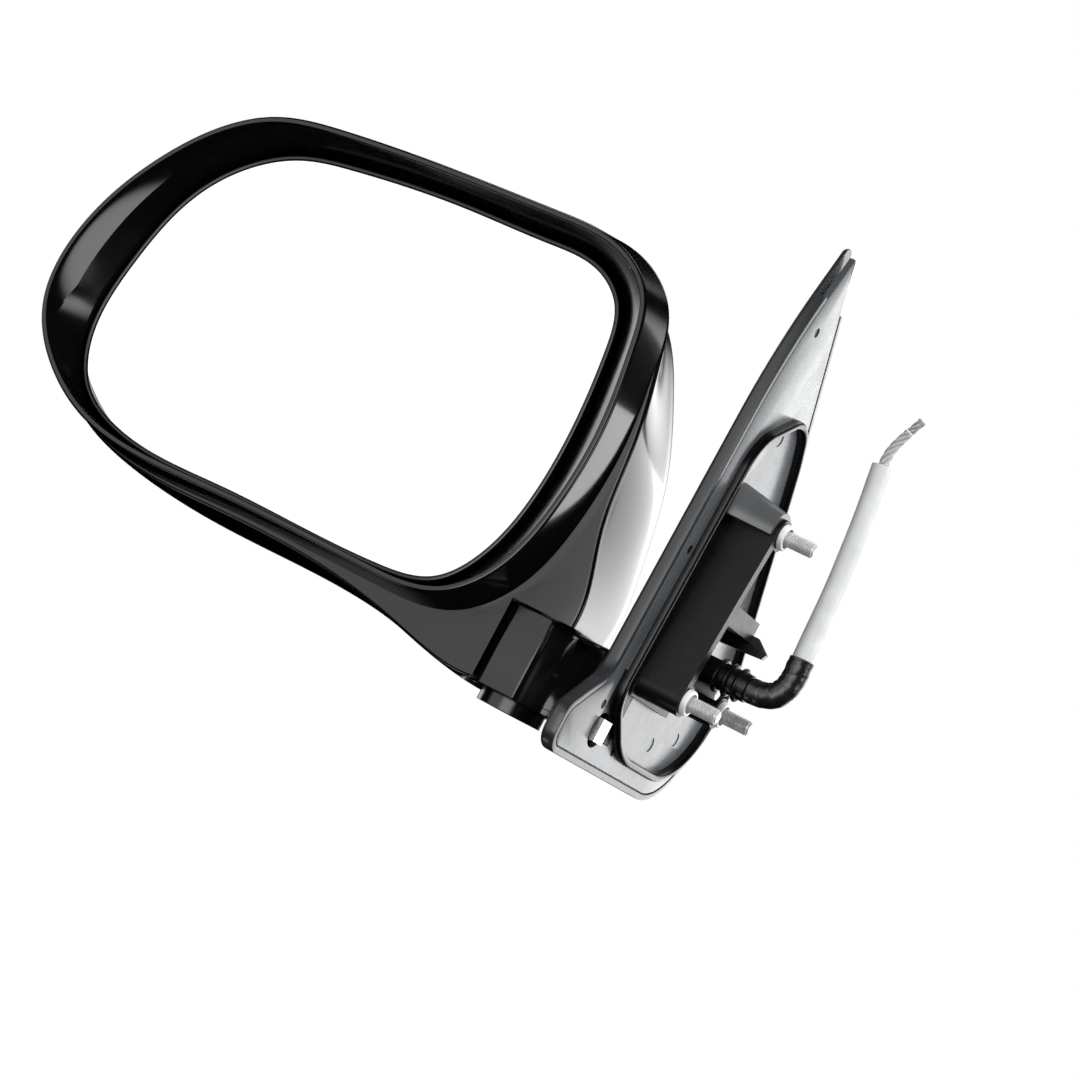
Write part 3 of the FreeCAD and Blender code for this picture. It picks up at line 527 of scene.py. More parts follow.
def nylon_collar(name):
    """A round collar with softened edges, turned about its stud."""
    low, high = box_mm(f"collar_{name}")
    radius = (high[1] - low[1]) / 2
    rim = [(low[0], radius - 1.5), (low[0], radius), (high[0], radius - 0.3), (high[0], COLLAR_BORE)]
    profile = softened(rim, 0.6)
    inner = np.array([(high[0] - 0.3, COLLAR_BORE), (low[0], COLLAR_BORE)])
    profile = np.concatenate([profile, inner])
    turn = np.linspace(0, 2 * np.pi, 64, endpoint=False)
    centre = (low[1:] + high[1:]) / 2
    rows = np.stack([
        np.repeat(profile[:, :1], 64, axis=1),
        centre[0] + profile[:, 1:] * np.cos(turn),
        centre[1] + profile[:, 1:] * np.sin(turn)], -1)
    return skin(f"collar_{name}_nylon", rows, ring=True)


stud_metal, collar_nylon = zinc_plate(), white_nylon()
for name in STUDS:
    finish(stud_piece(name), stud_metal, "base", "zinc_plate", f"stud_{name}")
    finish(nylon_collar(name), collar_nylon, "base", "white_nylon", f"collar_{name}")


# ---------------------------------------------------------------- sail cover
# The outer moulding of the sail: black gloss plastic with a rounded edge, and a step inside its edge
# that the back plate drops into. Towards the apex it is split by a narrow slot.

SAIL = [
    (-17.0, 146.0, 3.0), (-33.5, 95.0, 200.0), (-38.5, -40.0, 14.0), (-59.0, -58.0, 9.0),
    (-58.5, -75.0, 8.0), (60.0, -75.0, 30.0), (84.0, -35.0, 28.0), (42.0, 54.0, 400.0),
]
SAIL_EDGE = 2.6
SAIL_SKIN = 2.4
SAIL_ROUND = 2.2
cover_low, cover_high = box_mm("sail_cover")


def rounded_outline(corners, inset=0.0, step=1.0):
    """A closed (y, z) polygon with tangent arcs at its corners, read about one step apart, and moved
    inwards by the inset: every arc keeps its centre and loses the inset from its radius."""
    corners = np.asarray(corners, float)
    points = []
    for index, (y, z, radius) in enumerate(corners):
        corner = np.array([y, z])
        before = corners[index - 1][:2] - corner
        after = corners[(index + 1) % len(corners)][:2] - corner
        before /= np.linalg.norm(before)
        after /= np.linalg.norm(after)
        half = np.arccos(np.clip(before @ after, -1, 1)) / 2
        middle = (before + after) / np.linalg.norm(before + after)
        centre = corner + middle * radius / np.sin(half)
        sweep = np.pi - 2 * half
        count = max(3, int(radius * sweep / step), int(np.degrees(sweep) / 8)) + 1
        angles = np.linspace(-sweep / 2, sweep / 2, count)
        outward = -middle
        turn = np.sign(before[1] * after[0] - before[0] * after[1])
        square = np.array([-outward[1], outward[0]]) * turn
        reach = radius - inset
        arc = np.cos(angles)[:, None] * outward + np.sin(angles)[:, None] * square
        points.append(centre + reach * arc)
    loop = np.concatenate(points)
    closed = np.concatenate([loop, loop[:1]])
    along = np.r_[0, np.cumsum(np.linalg.norm(np.diff(closed, axis=0), axis=1))]
    gap = np.diff(along)
    filled = []
    for start, end, width in zip(closed, closed[1:], gap):
        share = np.arange(0, 1, 1 / max(1, round(width / step)))[:, None]
        filled.append(start + (end - start) * share)
    return np.concatenate(filled)


def raised(corners, levels, step=1.0):
    """Loops of a rounded outline, one for each (x, inset) level, all with as many points as the first."""
    base = rounded_outline(corners, 0.0, step)
    ahead, behind = np.roll(base, -1, axis=0), np.roll(base, 1, axis=0)
    chord = ahead - behind
    chord /= np.linalg.norm(chord, axis=1, keepdims=True)
    area = np.sum(base[:, 0] * ahead[:, 1] - base[:, 1] * ahead[:, 0])
    inward = np.stack([-chord[:, 1], chord[:, 0]], -1) * np.sign(area)
    loops = [np.column_stack([np.full(len(base), x), base + inward * inset]) for x, inset in levels]
    return np.stack(loops)


def arc_levels(x_from, inset_from, x_to, inset_to, steps=6):
    """Levels along a quarter of an ellipse: it leaves the first level flat and meets the second upright."""
    angle = np.linspace(0, np.pi / 2, steps + 1)
    x = x_from + (x_to - x_from) * (1 - np.cos(angle))
    inset = inset_from + (inset_to - inset_from) * np.sin(angle)
    return list(zip(x, inset))


def cut_away(piece, *tools, crease=35.0):
    """Take closed tool pieces out of a piece, keep the result as its mesh and drop the tools."""
    for tool in tools:
        change = piece.modifiers.new("cut", "BOOLEAN")
        change.object = tool
        change.operation = "DIFFERENCE"
        change.solver = "EXACT"
    graph = bpy.context.evaluated_depsgraph_get()
    piece.data = bpy.data.meshes.new_from_object(piece.evaluated_get(graph))
    piece.modifiers.clear()
    for tool in tools:
        bpy.data.objects.remove(tool)
    return smooth(piece, crease)


def block(name, low, high):
    """A plain box between two corners, for cutting."""
    low, high = np.asarray(low, float), np.asarray(high, float)
    corners = np.array([[(low, high)[i][0], (low, high)[j][1], (low, high)[k][2]]
                        for i in (0, 1) for j in (0, 1) for k in (0, 1)])
    faces = [[0, 1, 3, 2], [4, 6, 7, 5], [0, 4, 5, 1], [2, 3, 7, 6], [0, 2, 6, 4], [1, 5, 7, 3]]
    return mesh_piece(name, corners, faces)


def drill(name, y, z, radius, start, end):
    """A round cutter along X."""
    return turned(name, [(start, radius), (end, radius)], (y, z), 48)


sail_levels = arc_levels(cover_low[0], SAIL_ROUND, cover_low[0] + SAIL_ROUND, 0.0)
sail_levels += [(cover_high[0] - 0.5, 0.0), (cover_high[0] - 0.15, 0.12), (cover_high[0], 0.5),
                (cover_high[0], SAIL_EDGE - 0.3), (cover_high[0] - 0.3, SAIL_EDGE),
                (cover_low[0] + SAIL_SKIN, SAIL_EDGE)]
cover = skin("sail_outer_moulding", raised(SAIL, sail_levels, 0.8))
tip_high = cover_high[2]
arm_low, arm_high = (-28.9, -63.4), (-9.1, -35.6)
cut_away(cover,
         block("apex_slot", (cover_low[0] + SAIL_SKIN, -100, tip_high - 22), (0, 100, tip_high + 10)),
         block("arm_way", (cover_low[0] - 1, *arm_low), (0, *arm_high)))


def gloss_moulding(name, dark, light, low, high, ripple_mm):
    """Black gloss ABS: near-black with a faint warm and cold mottle, a clear skin, and the shallow
    ripple that a mould leaves."""
    made, tree, shader = material(name, IOR=1.5, Coat_Weight=0.25, Coat_Roughness=0.08)
    two_tone(tree, shader, mottle(tree, 30.0, 2.0), dark, light)
    vary_gloss(tree, shader, mottle(tree, 12.0), low, high)
    relief(tree, shader, mottle(tree, 2.5, 2.0), ripple_mm, 0.3)
    return made


sail_satin = gloss_moulding("sail_dark_satin", "#242527", "#343638", 0.26, 0.4, 0.015)
finish(cover, sail_satin, "base", "housing_black", "sail_cover")


# ---------------------------------------------------------------- sail back plate
# Moulded panel that closes the sail towards the door, black plastic whose grey is painted reflection of
# bright light. It has four screw holes, a pocket for the foot bolt and ejector marks. A shallow crease that
# runs up to the apex is not modelled: a sharp slanted change in the painted reflection stands for it.

PLATE_INSET = 2.85
PLATE_THICK = 2.4
EJECTOR_MARKS = [(0.5, 68.5), (28.2, -54.6), (49.3, -47.8)]
POCKET_RADIUS = 7.0
plate_face = cover_high[0]
bolt_low, bolt_high = box_mm("foot_bolt")
foot_bolt = (bolt_low[1:] + bolt_high[1:]) / 2
screw_boxes = [box_mm(f"cover_screw_{number}") for number in (1, 2, 3, 4)]
screw_places = [(low[1:] + high[1:]) / 2 for low, high in screw_boxes]

plate_levels = [(plate_face - PLATE_THICK, PLATE_INSET), (plate_face - 0.7, PLATE_INSET)]
plate_levels += [(plate_face - 0.2, PLATE_INSET + 0.2), (plate_face, PLATE_INSET + 0.7)]
plate = skin("sail_back_plate", raised(SAIL, plate_levels, 0.8))
holes = [drill(f"screw_way_{i}", *place, 1.9, -30, 0) for i, place in enumerate(screw_places)]
holes.append(drill("bolt_pocket", *foot_bolt, POCKET_RADIUS, -30, 0))
holes.append(block("plate_arm_way", (-30, *arm_low), (0, *arm_high)))
marks = [drill(f"ejector_{i}", y, z, 2.9, plate_face - 0.35, 0) for i, (y, z) in enumerate(EJECTOR_MARKS)]
cut_away(plate, *holes, *marks)


def plate_grey():
    """Moulded plate painted grey as bright light reflected by black plastic: a painted reflection that turns
    lighter across a sharp slanted line, flow marks and fine pits.
    """
    made, tree, shader = material("plate_painted_reflection", Specular_IOR_Level=0.7)
    place = add(tree, "TexCoord").outputs["Object"]
    split = add(tree, "SeparateXYZ", Vector=place)
    slant = add(tree, "Math", operation="MULTIPLY_ADD")
    tree.links.new(split.outputs["Z"], slant.inputs[0])
    slant.inputs[1].default_value = -0.16
    tree.links.new(split.outputs["Y"], slant.inputs[2])
    # Painted reflection: the plate turns lighter forward of a sharp slanted line, which stands for a shallow
    # crease up to the apex.
    edge = add(tree, "MapRange", Value=slant.outputs[0], From_Min=-0.024, From_Max=-0.02)
    soft = add(tree, "Math", operation="MULTIPLY_ADD")
    tree.links.new(edge.outputs["Result"], soft.inputs[0])
    soft.inputs[1].default_value = 0.55
    cloud = add(tree, "Math", operation="MULTIPLY")
    tree.links.new(mottle(tree, 18.0, 3.0), cloud.inputs[0])
    cloud.inputs[1].default_value = 0.6
    tree.links.new(cloud.outputs[0], soft.inputs[2])
    # Both grey tones are painted reflection of bright light on the black plate.
    two_tone(tree, shader, soft.outputs[0], "#383B3E", "#6A6D70")
    vary_gloss(tree, shader, mottle(tree, 6.0), 0.2, 0.34)
    relief(tree, shader, mottle(tree, 0.6, 3.0), 0.04)
    return made


finish(plate, plate_grey(), "base", "plate_grey", "sail_plate")


# ---------------------------------------------------------------- cover screws and small steel
# Short self-tapping screws that hold the cover to the plate, the square foot bolt and the post's nut,
# washers and spring. All are black or zinc-coated steel.

def coated_steel(name, dark, light, low, high):
    """Coated steel: a dull metallic skin with rubbed, brighter edges of the mottling."""
    made, tree, shader = material(name, Metallic=0.9)
    two_tone(tree, shader, mottle(tree, 2.5), dark, light)
    vary_gloss(tree, shader, mottle(tree, 0.8), low, high)
    relief(tree, shader, mottle(tree, 0.3, 2.0), 0.02)
    return made


screw_steel = coated_steel("screw_black_oxide", "#08080A", "#202124", 0.3, 0.5)
bright_steel = coated_steel("bolt_bright_zinc", "#9EA0A2", "#E6E7E8", 0.2, 0.38)
for number in (1, 2, 3, 4):
    dress_node(f"cover_screw_{number}", screw_steel)
for name in ("housing_screw_1", "housing_screw_2", "housing_screw_3", "drive_screw_1", "drive_screw_2",
             "drive_screw_3"):
    dress_node(name, screw_steel)
for name in ("foot_bolt", "pivot_post", "pivot_washer", "fold_spring", "spring_washer", "post_nut"):
    dress_node(name, bright_steel)
hook_plastic = gloss_moulding("hook_black_nylon", "#0B0B0C", "#232426", 0.2, 0.34, 0.02)
dress_node("locating_hook", hook_plastic)
dress_node("locator_pin", collar_nylon)


# ---------------------------------------------------------------- door gasket
# A closed loop of black foam rubber with a rounded back, stuck to the plate. It seals the sail
# against the door's skin.

GASKET = [
    (12.0, 84.0, 14.0), (-22.0, 62.0, 22.0), (-27.0, -48.0, 16.0), (0.0, -66.5, 40.0), (66.0, -66.5, 34.0),
    (75.0, -20.0, 30.0), (26.0, 66.0, 60.0),
]
GASKET_WIDE = 3.2
gasket_low, gasket_high = box_mm("door_gasket")
gasket_x = [gasket_low[0], gasket_low[0] + 1.8, gasket_high[0] - 0.6, gasket_high[0], gasket_high[0],
            gasket_high[0] - 0.6, gasket_low[0] + 1.8, gasket_low[0]]
gasket_inset = [0.0, 0.0, 0.25, 1.0, GASKET_WIDE - 1.0, GASKET_WIDE - 0.25, GASKET_WIDE, GASKET_WIDE]
gasket_rows = raised(GASKET, list(zip(gasket_x, gasket_inset)), 0.9)
gasket = skin("door_seal_loop", gasket_rows, ring=True, crease=60.0)
seal_rubber = rubber("seal_foam_rubber", "#040404", "#0D0D0E", 0.16, 0.34)
finish(gasket, seal_rubber, "base", "rubber_black", "door_gasket")


# ---------------------------------------------------------------- knuckle cover
# The hollow moulding over the fold pivot: a drum with a flat front, and a neck that runs to the
# sail. It is gloss black plastic with small rounded edges.

knuckle_low, knuckle_high = box_mm("knuckle_cover")
post_low, post_high = box_mm("pivot_post")
axis = ((post_low + post_high) / 2)[:2]
KNUCKLE_RADIUS = 21.0
KNUCKLE_FLAT = 8.0
NECK_HALF = 13.0
KNUCKLE_WALL = 2.5
NECK_HOLLOW = 2.2


def knuckle_outline(count=420):
    """The knuckle seen from above: a drum's arc, a flat front, and a neck to the sail that is waisted by a
    sine squared dip, read at even steps, with its corners then smoothed by averaging neighbours."""
    radius, flat = KNUCKLE_RADIUS, KNUCKLE_FLAT
    reach = knuckle_high[0] - axis[0]
    drum = np.radians(np.linspace(38.3, 247.6, 150))
    rear = np.radians(np.linspace(292.4, 321.7, 40))
    arc = np.stack([np.cos(drum), np.sin(drum)], -1) * radius
    short = np.stack([np.cos(rear), np.sin(rear)], -1) * radius
    neck = np.linspace(np.cos(np.radians(38.3)) * radius, reach, 60)
    dip = NECK_HOLLOW * np.sin(np.pi * (neck - neck[0]) / (neck[-1] - neck[0])) ** 2
    far = np.stack([neck[::-1], (NECK_HALF - dip)[::-1]], -1)
    near = np.stack([neck, -(NECK_HALF - dip)], -1)
    front = np.array([(-flat, -radius), (flat, -radius)])
    loop = np.concatenate([far, arc, front, short, near])
    closed = np.concatenate([loop, loop[:1]])
    along = np.r_[0, np.cumsum(np.linalg.norm(np.diff(closed, axis=0), axis=1))]
    even = np.linspace(0, along[-1], count, endpoint=False)
    loop = np.stack([np.interp(even, along, closed[:, i]) for i in (0, 1)], -1)
    for _ in range(5):
        loop = (np.roll(loop, 1, axis=0) + loop * 2 + np.roll(loop, -1, axis=0)) / 4
    return loop + axis


def pulled_in(loop, inset):
    """A closed (x, y) loop moved inwards along its own normals."""
    chord = np.roll(loop, -1, axis=0) - np.roll(loop, 1, axis=0)
    chord /= np.linalg.norm(chord, axis=1, keepdims=True)
    ahead = np.roll(loop, -1, axis=0)
    area = np.sum(loop[:, 0] * ahead[:, 1] - loop[:, 1] * ahead[:, 0])
    return loop + np.stack([-chord[:, 1], chord[:, 0]], -1) * np.sign(area) * inset


def upright_loops(loop, levels):
    """Loops one above another: each (z, inset) level is the outline pulled in and set at its height."""
    return np.stack([np.column_stack([pulled_in(loop, inset), np.full(len(loop), z)])
                     for z, inset in levels])


knuckle_loop = knuckle_outline()
low_z, high_z = knuckle_low[2], knuckle_high[2]
knuckle = skin("knuckle_moulding", upright_loops(knuckle_loop, [
    (low_z + KNUCKLE_WALL, KNUCKLE_WALL), (low_z, KNUCKLE_WALL), (low_z, 0.9), (low_z + 0.25, 0.25),
    (low_z + 0.9, 0.0), (high_z - 1.2, 0.0), (high_z - 0.35, 0.35), (high_z, 1.2)]))
hollow = skin("knuckle_hollow", upright_loops(knuckle_loop, [
    (low_z - 5, KNUCKLE_WALL), (high_z - KNUCKLE_WALL, KNUCKLE_WALL)]))


def drill_up(name, place, radius, start, end):
    """A round cutter along Z."""
    turn = np.linspace(0, 2 * np.pi, 72, endpoint=False)
    ring = np.stack([place[0] + radius * np.cos(turn), place[1] + radius * np.sin(turn)], -1)
    return skin(name, np.stack([np.column_stack([ring, np.full(72, z)]) for z in (start, end)]))


cut_away(knuckle, hollow, drill_up("boss_way", axis, 13.4, low_z - 5, high_z + 5))
knuckle_gloss = gloss_moulding("knuckle_black_gloss", "#070708", "#0F0F11", 0.13, 0.26, 0.012)
finish(knuckle, knuckle_gloss, "base", "housing_black", "knuckle_cover")


# ---------------------------------------------------------------- bracket and glass drive
# Inside the head: an alloy bracket that turns on the post, and a round nylon gearbox with two small
# motors. The CAD's own shapes are kept.

def cast_alloy():
    """Bare die-cast alloy: grey, pebbled and cloudy, with a low metallic shine."""
    made, tree, shader = material("bracket_cast_alloy", Metallic=0.8)
    two_tone(tree, shader, mottle(tree, 6.0), "#6A6C6E", "#A9ABAC")
    vary_gloss(tree, shader, mottle(tree, 1.5), 0.35, 0.55)
    relief(tree, shader, mottle(tree, 0.8, 5.0), 0.1)
    return made


dress_node("pivot_bracket", cast_alloy())
drive_nylon = moulded_grey("drive_black_nylon", "#101112", "#1E2022", 0.35, 0.55)
for name in ("drive_case", "drive_cover", "plunger_pan", "plunger_tilt", "pivot_ball"):
    dress_node(name, drive_nylon)
motor_steel = coated_steel("motor_drawn_can", "#8C8E90", "#C8CACC", 0.25, 0.4)
for name in ("motor_pan", "motor_tilt"):
    dress_node(name, motor_steel)


# ---------------------------------------------------------------- housing
# The head's housing, one gloss-black ABS moulding: a flat face behind the bezel with a leg down to the
# knuckle, a flare to its widest section and a full rounded front. It is cut away round the knuckle.

HEAD_MIDDLE = np.array([-184.0, 27.7])
HEAD_HALF = np.array([123.0, 76.3])
FACE = [
    (-0.561, 0.882), (-0.301, 0.970), (0.154, 1.017), (0.528, 1.033), (0.772, 1.000), (0.931, 0.810),
    (0.988, 0.567), (1.045, 0.135), (1.081, -0.298), (1.146, -0.756), (1.008, -1.163), (0.602, -1.143),
    (-0.122, -1.058), (-0.634, -0.999), (-0.837, -0.828), (-0.988, -0.520), (-1.000, -0.068),
    (-0.858, 0.450), (-0.711, 0.725),
]
WIDE = [
    (-0.585, 0.908), (-0.309, 1.000), (0.146, 1.052), (0.488, 1.065), (0.650, 0.987), (0.829, 0.803),
    (0.955, 0.502), (1.073, 0.069), (1.124, -0.311), (1.146, -0.756), (1.008, -1.182), (0.602, -1.163),
    (-0.122, -1.104), (-0.634, -1.031), (-0.829, -0.900), (-0.967, -0.547), (-0.980, -0.075),
    (-0.846, 0.450), (-0.724, 0.738),
]
GLASS = [
    (-0.553, 0.858), (-0.321, 0.930), (0.168, 0.990), (0.569, 0.999), (0.794, 0.972), (0.921, 0.834),
    (0.973, 0.581), (1.001, 0.099), (0.989, -0.288), (0.919, -0.674), (0.794, -0.908), (0.569, -0.988),
    (-0.164, -0.999), (-0.731, -0.955), (-0.897, -0.828), (-0.988, -0.601), (-0.988, -0.076),
    (-0.878, 0.442), (-0.731, 0.701),
]
ROUND_CENTRE = (0.2, -0.1)
FACE_Y = -40.0
WIDEST_Y = -10.0
FRONT_Y = 28.0
SHELL_WALL = 2.5
FACE_WALL = 3.0
FACE_ROUND = 1.6
OPENING = 3.6
SPIGOT = 2.6
AROUND = 288


def closed_curve(corners, count):
    """A smooth closed line through the corners: the periodic cubic over its chord lengths, whose bends
    solve the cyclic three-term system, read at count even steps."""
    corners = np.asarray(corners, float)
    after = np.roll(corners, -1, axis=0)
    chord = np.linalg.norm(after - corners, axis=1)
    previous = np.roll(chord, 1)
    order = np.arange(len(corners))
    system = np.diag(2 * (chord + previous))
    system[order, (order + 1) % len(corners)] += chord
    system[order, order - 1] += previous
    slope = (after - corners) / chord[:, None]
    bend = np.linalg.solve(system, 6 * (slope - np.roll(slope, 1, axis=0)))
    knots = np.r_[0, np.cumsum(chord)]
    at = np.linspace(0, knots[-1], count, endpoint=False)
    run = np.searchsorted(knots, at, side="right") - 1
    past = (at - knots[run])[:, None]
    span = chord[run][:, None]
    left = span - past
    first, last = corners[run], after[run]
    bend_first, bend_last = bend[run], np.roll(bend, -1, axis=0)[run]
    return ((bend_first * left ** 3 + bend_last * past ** 3) / (6 * span)
            + (first / span - bend_first * span / 6) * left + (last / span - bend_last * span / 6) * past)


def head_loop(shares, inset=0.0):
    """An outline of the head in (x, z) millimetres, pulled in by the inset."""
    return pulled_in(closed_curve(HEAD_MIDDLE + np.asarray(shares) * HEAD_HALF, AROUND), inset)


glass_low, glass_high = box_mm("mirror_glass")
glass_middle = (glass_low + glass_high)[[0, 2]] / 2
glass_half = (glass_high - glass_low)[[0, 2]] / 2


def glass_loop(spread=0.0, count=AROUND):
    """The glass's edge in (x, z) millimetres, pushed outwards by the spread."""
    return pulled_in(closed_curve(glass_middle + np.asarray(GLASS) * glass_half, count), -spread)


def at_depth(loop, y):
    """A loop of (x, z) points at one depth, or at a depth for each point."""
    return np.column_stack([loop[:, 0], np.broadcast_to(y, len(loop)), loop[:, 1]])


def shell_rows(wall, face_y, rounding):
    """The housing's loops, from its face to its front: the face's edge as a quarter round, a flare that
    eases from the face outline to the widest one, and a front that shrinks towards one point along a
    superellipse. A wall moves them all inwards."""
    face, wide = np.array(FACE), np.array(WIDE)
    rows = []
    for angle in np.linspace(0, np.pi / 2, 6)[:-1] if rounding else []:
        rows.append(at_depth(head_loop(face, wall + rounding * (1 - np.sin(angle))),
                             face_y + rounding * (1 - np.cos(angle))))
    start = face_y + rounding
    for step in np.linspace(0, 1, 26)[:-1]:
        share = step * (2 - step)
        rows.append(at_depth(head_loop(face + (wide - face) * share, wall),
                             start + (WIDEST_Y - start) * step))
    middle = HEAD_MIDDLE + np.array(ROUND_CENTRE) * HEAD_HALF
    outline = head_loop(wide, wall)
    for angle in np.linspace(0, np.pi / 2, 60)[:-1]:
        step = np.sin(angle)
        scale = (1 - step ** 2.6) ** 0.4545
        rows.append(at_depth(middle + (outline - middle) * scale,
                             WIDEST_Y + (FRONT_Y - wall - WIDEST_Y) * step))
    return np.stack(rows)


def notch_tool(name, grow):
    """The space round the knuckle: an upright drum and the block beside it, up to just over its top."""
    radius = np.hypot(KNUCKLE_RADIUS, KNUCKLE_FLAT) + 0.8 + grow
    top = high_z + grow
    turn = np.radians(np.linspace(90, 270, 97))
    half_round = np.stack([axis[0] + radius * np.cos(turn), axis[1] + radius * np.sin(turn)], -1)
    outline = np.concatenate([half_round, [(axis[0], -160), (20, -160), (20, 120), (axis[0], 120)]])
    return skin(name, np.stack([np.column_stack([outline, np.full(len(outline), z)]) for z in (-160, top)]))


shell = skin("housing_moulding", shell_rows(0.0, FACE_Y, FACE_ROUND))
cavity = skin("housing_cavity", shell_rows(SHELL_WALL, FACE_Y + FACE_WALL, 0.0))
cut_away(cavity, notch_tool("wall_space", SHELL_WALL))
mouth = skin("housing_mouth", np.stack([at_depth(glass_loop(OPENING + SPIGOT), y)
                                        for y in (FACE_Y - 5, FACE_Y + FACE_WALL + 5)]))
cut_away(shell, notch_tool("knuckle_space", 0.5))
cut_away(shell, cavity)
cut_away(shell, mouth)
cut_away(shell, drill_up("post_way", axis, 14.6, high_z - 2.5, high_z + 7.5), crease=30.0)
housing_gloss = gloss_moulding("housing_black_gloss", "#060607", "#0C0C0E", 0.14, 0.24, 0.012)
finish(shell, housing_gloss, "head", "housing_black", "head_shell")


# ---------------------------------------------------------------- bezel
# The gloss-black ring that frames the glass: a narrow flat rim, a wall that slopes in to the glass, and
# a spigot pushed into the housing. Its upper outboard corner is scooped out in a long shallow facet.

RIM = [
    (-0.545, 0.853), (-0.293, 0.937), (0.154, 0.983), (0.528, 0.999), (0.759, 0.967), (0.914, 0.790),
    (0.962, 0.550), (0.999, 0.077), (0.985, -0.288), (0.912, -0.691), (0.776, -0.921), (0.504, -0.990),
    (-0.122, -0.997), (-0.634, -0.949), (-0.825, -0.790), (-0.972, -0.509), (-0.983, -0.071),
    (-0.840, 0.431), (-0.693, 0.701),
]
RIM_Y = -58.0
RIM_LAND = 2.5
RIM_ROUND = 1.0
THROAT_Y = -42.0
FACET_START = (-0.93, -0.62)
FACET_END = (-0.60, 0.80)
FACET_SHARE = 0.60
FACET_DEEP = 4.2

rim_loop = head_loop(RIM)
rim_shares = (rim_loop - HEAD_MIDDLE) / HEAD_HALF


def nearest_step(place):
    """How far round the rim a pair of shares lies, as a whole number of steps."""
    return int(np.argmin(np.linalg.norm(rim_shares - np.array(place), axis=1)))


facet_first, facet_last = nearest_step(FACET_START), nearest_step(FACET_END)
facet_length = (facet_last - facet_first) % AROUND
facet_way = ((np.arange(AROUND) - facet_first) % AROUND) / facet_length
inside_facet = facet_way <= 1
facet_swell = np.where(inside_facet, np.clip(facet_way / 0.16, 0, 1) ** 0.7
                       * np.clip((1 - facet_way) / 0.40, 0, 1) ** 0.7, 0.0)
crease_share = FACET_SHARE * facet_swell
crease_y = RIM_Y + 0.5 + FACET_DEEP * facet_swell ** 0.8

land_loop = pulled_in(rim_loop, RIM_LAND)
throat_loop = glass_loop(OPENING)
bezel_rows = [at_depth(head_loop(RIM, -SHELL_WALL), FACE_Y)]
for share in np.linspace(0.1, 0.95, 8):
    bezel_rows.append(at_depth(head_loop(RIM, -SHELL_WALL * (1 - share)), FACE_Y + (RIM_Y - FACE_Y) * share))
for angle in np.linspace(0, np.pi / 2, 6):
    bezel_rows.append(at_depth(pulled_in(rim_loop, RIM_ROUND * (1 - np.cos(angle))),
                               RIM_Y + RIM_ROUND * (1 - np.sin(angle))))
bezel_rows.append(at_depth(pulled_in(rim_loop, RIM_LAND - 0.7), RIM_Y))
bezel_rows.append(at_depth(pulled_in(rim_loop, RIM_LAND - 0.35), RIM_Y + 0.06))
bezel_rows.append(at_depth(land_loop, RIM_Y + 0.35))
for share in np.linspace(0.04, 1, 16):
    way = (crease_share * share)[:, None]
    hollow_y = RIM_Y + 0.35 + (crease_y - RIM_Y - 0.35) * share ** 0.85
    bezel_rows.append(at_depth(land_loop + (throat_loop - land_loop) * way, hollow_y))
for share in np.linspace(0.0, 1, 24)[1:]:
    way = (crease_share + (1 - crease_share) * share)[:, None]
    bezel_rows.append(at_depth(land_loop + (throat_loop - land_loop) * way,
                               crease_y + (THROAT_Y - crease_y) * share))
bezel_rows.append(at_depth(throat_loop, THROAT_Y + 0.6))
bezel_rows.append(at_depth(throat_loop, FACE_Y + 2.0))
spigot_loop = glass_loop(OPENING + SPIGOT - 0.2)
bezel_rows.append(at_depth(spigot_loop, FACE_Y + 2.0))
bezel_rows.append(at_depth(spigot_loop, FACE_Y))
bezel = skin("bezel_ring", np.stack(bezel_rows), ring=True, crease=28.0)
bezel_gloss = gloss_moulding("bezel_black_gloss", "#050506", "#0B0B0D", 0.10, 0.20, 0.01)
finish(bezel, bezel_gloss, "head", "bezel_black", "bezel")


# ---------------------------------------------------------------- glass holder
# The black tray that carries the glass. A thin raised lip grips the glass all round, and behind it are
# the ball's socket and two rings for the drive's plungers.

holder_low, holder_high = box_mm("glass_holder")
LIP_WIDTH = 1.6
HOLDER_BACK = -37.7
pad_high = box_mm("adhesive_pad")[1]
ball_low, ball_high = box_mm("pivot_ball")
lip_y = holder_low[1]
pocket_y = pad_high[1]
tray_rows = [
    at_depth(glass_loop(LIP_WIDTH - 0.6), HOLDER_BACK), at_depth(glass_loop(LIP_WIDTH), HOLDER_BACK - 0.6),
    at_depth(glass_loop(LIP_WIDTH), lip_y + 0.5), at_depth(glass_loop(LIP_WIDTH - 0.2), lip_y + 0.12),
    at_depth(glass_loop(LIP_WIDTH - 0.6), lip_y), at_depth(glass_loop(0.7), lip_y),
    at_depth(glass_loop(0.3), lip_y + 0.15), at_depth(glass_loop(0.2), lip_y + 0.5),
    at_depth(glass_loop(0.2), pocket_y),
]
tray = skin("glass_holder_tray", np.stack(tray_rows))


def drive_socket(name, place, outer, bore, high):
    """An open ring along Y on the tray's back: a flat-ended tube turned about its own axis."""
    turn = np.linspace(0, 2 * np.pi, 64, endpoint=False)
    profile = [(HOLDER_BACK - 0.2, outer), (high, outer), (high, bore), (HOLDER_BACK - 0.2, bore)]
    rows = np.stack([np.stack([place[0] + radius * np.cos(turn), np.full(64, y),
                               place[1] + radius * np.sin(turn)], -1) for y, radius in profile])
    return skin(name, rows, ring=True)


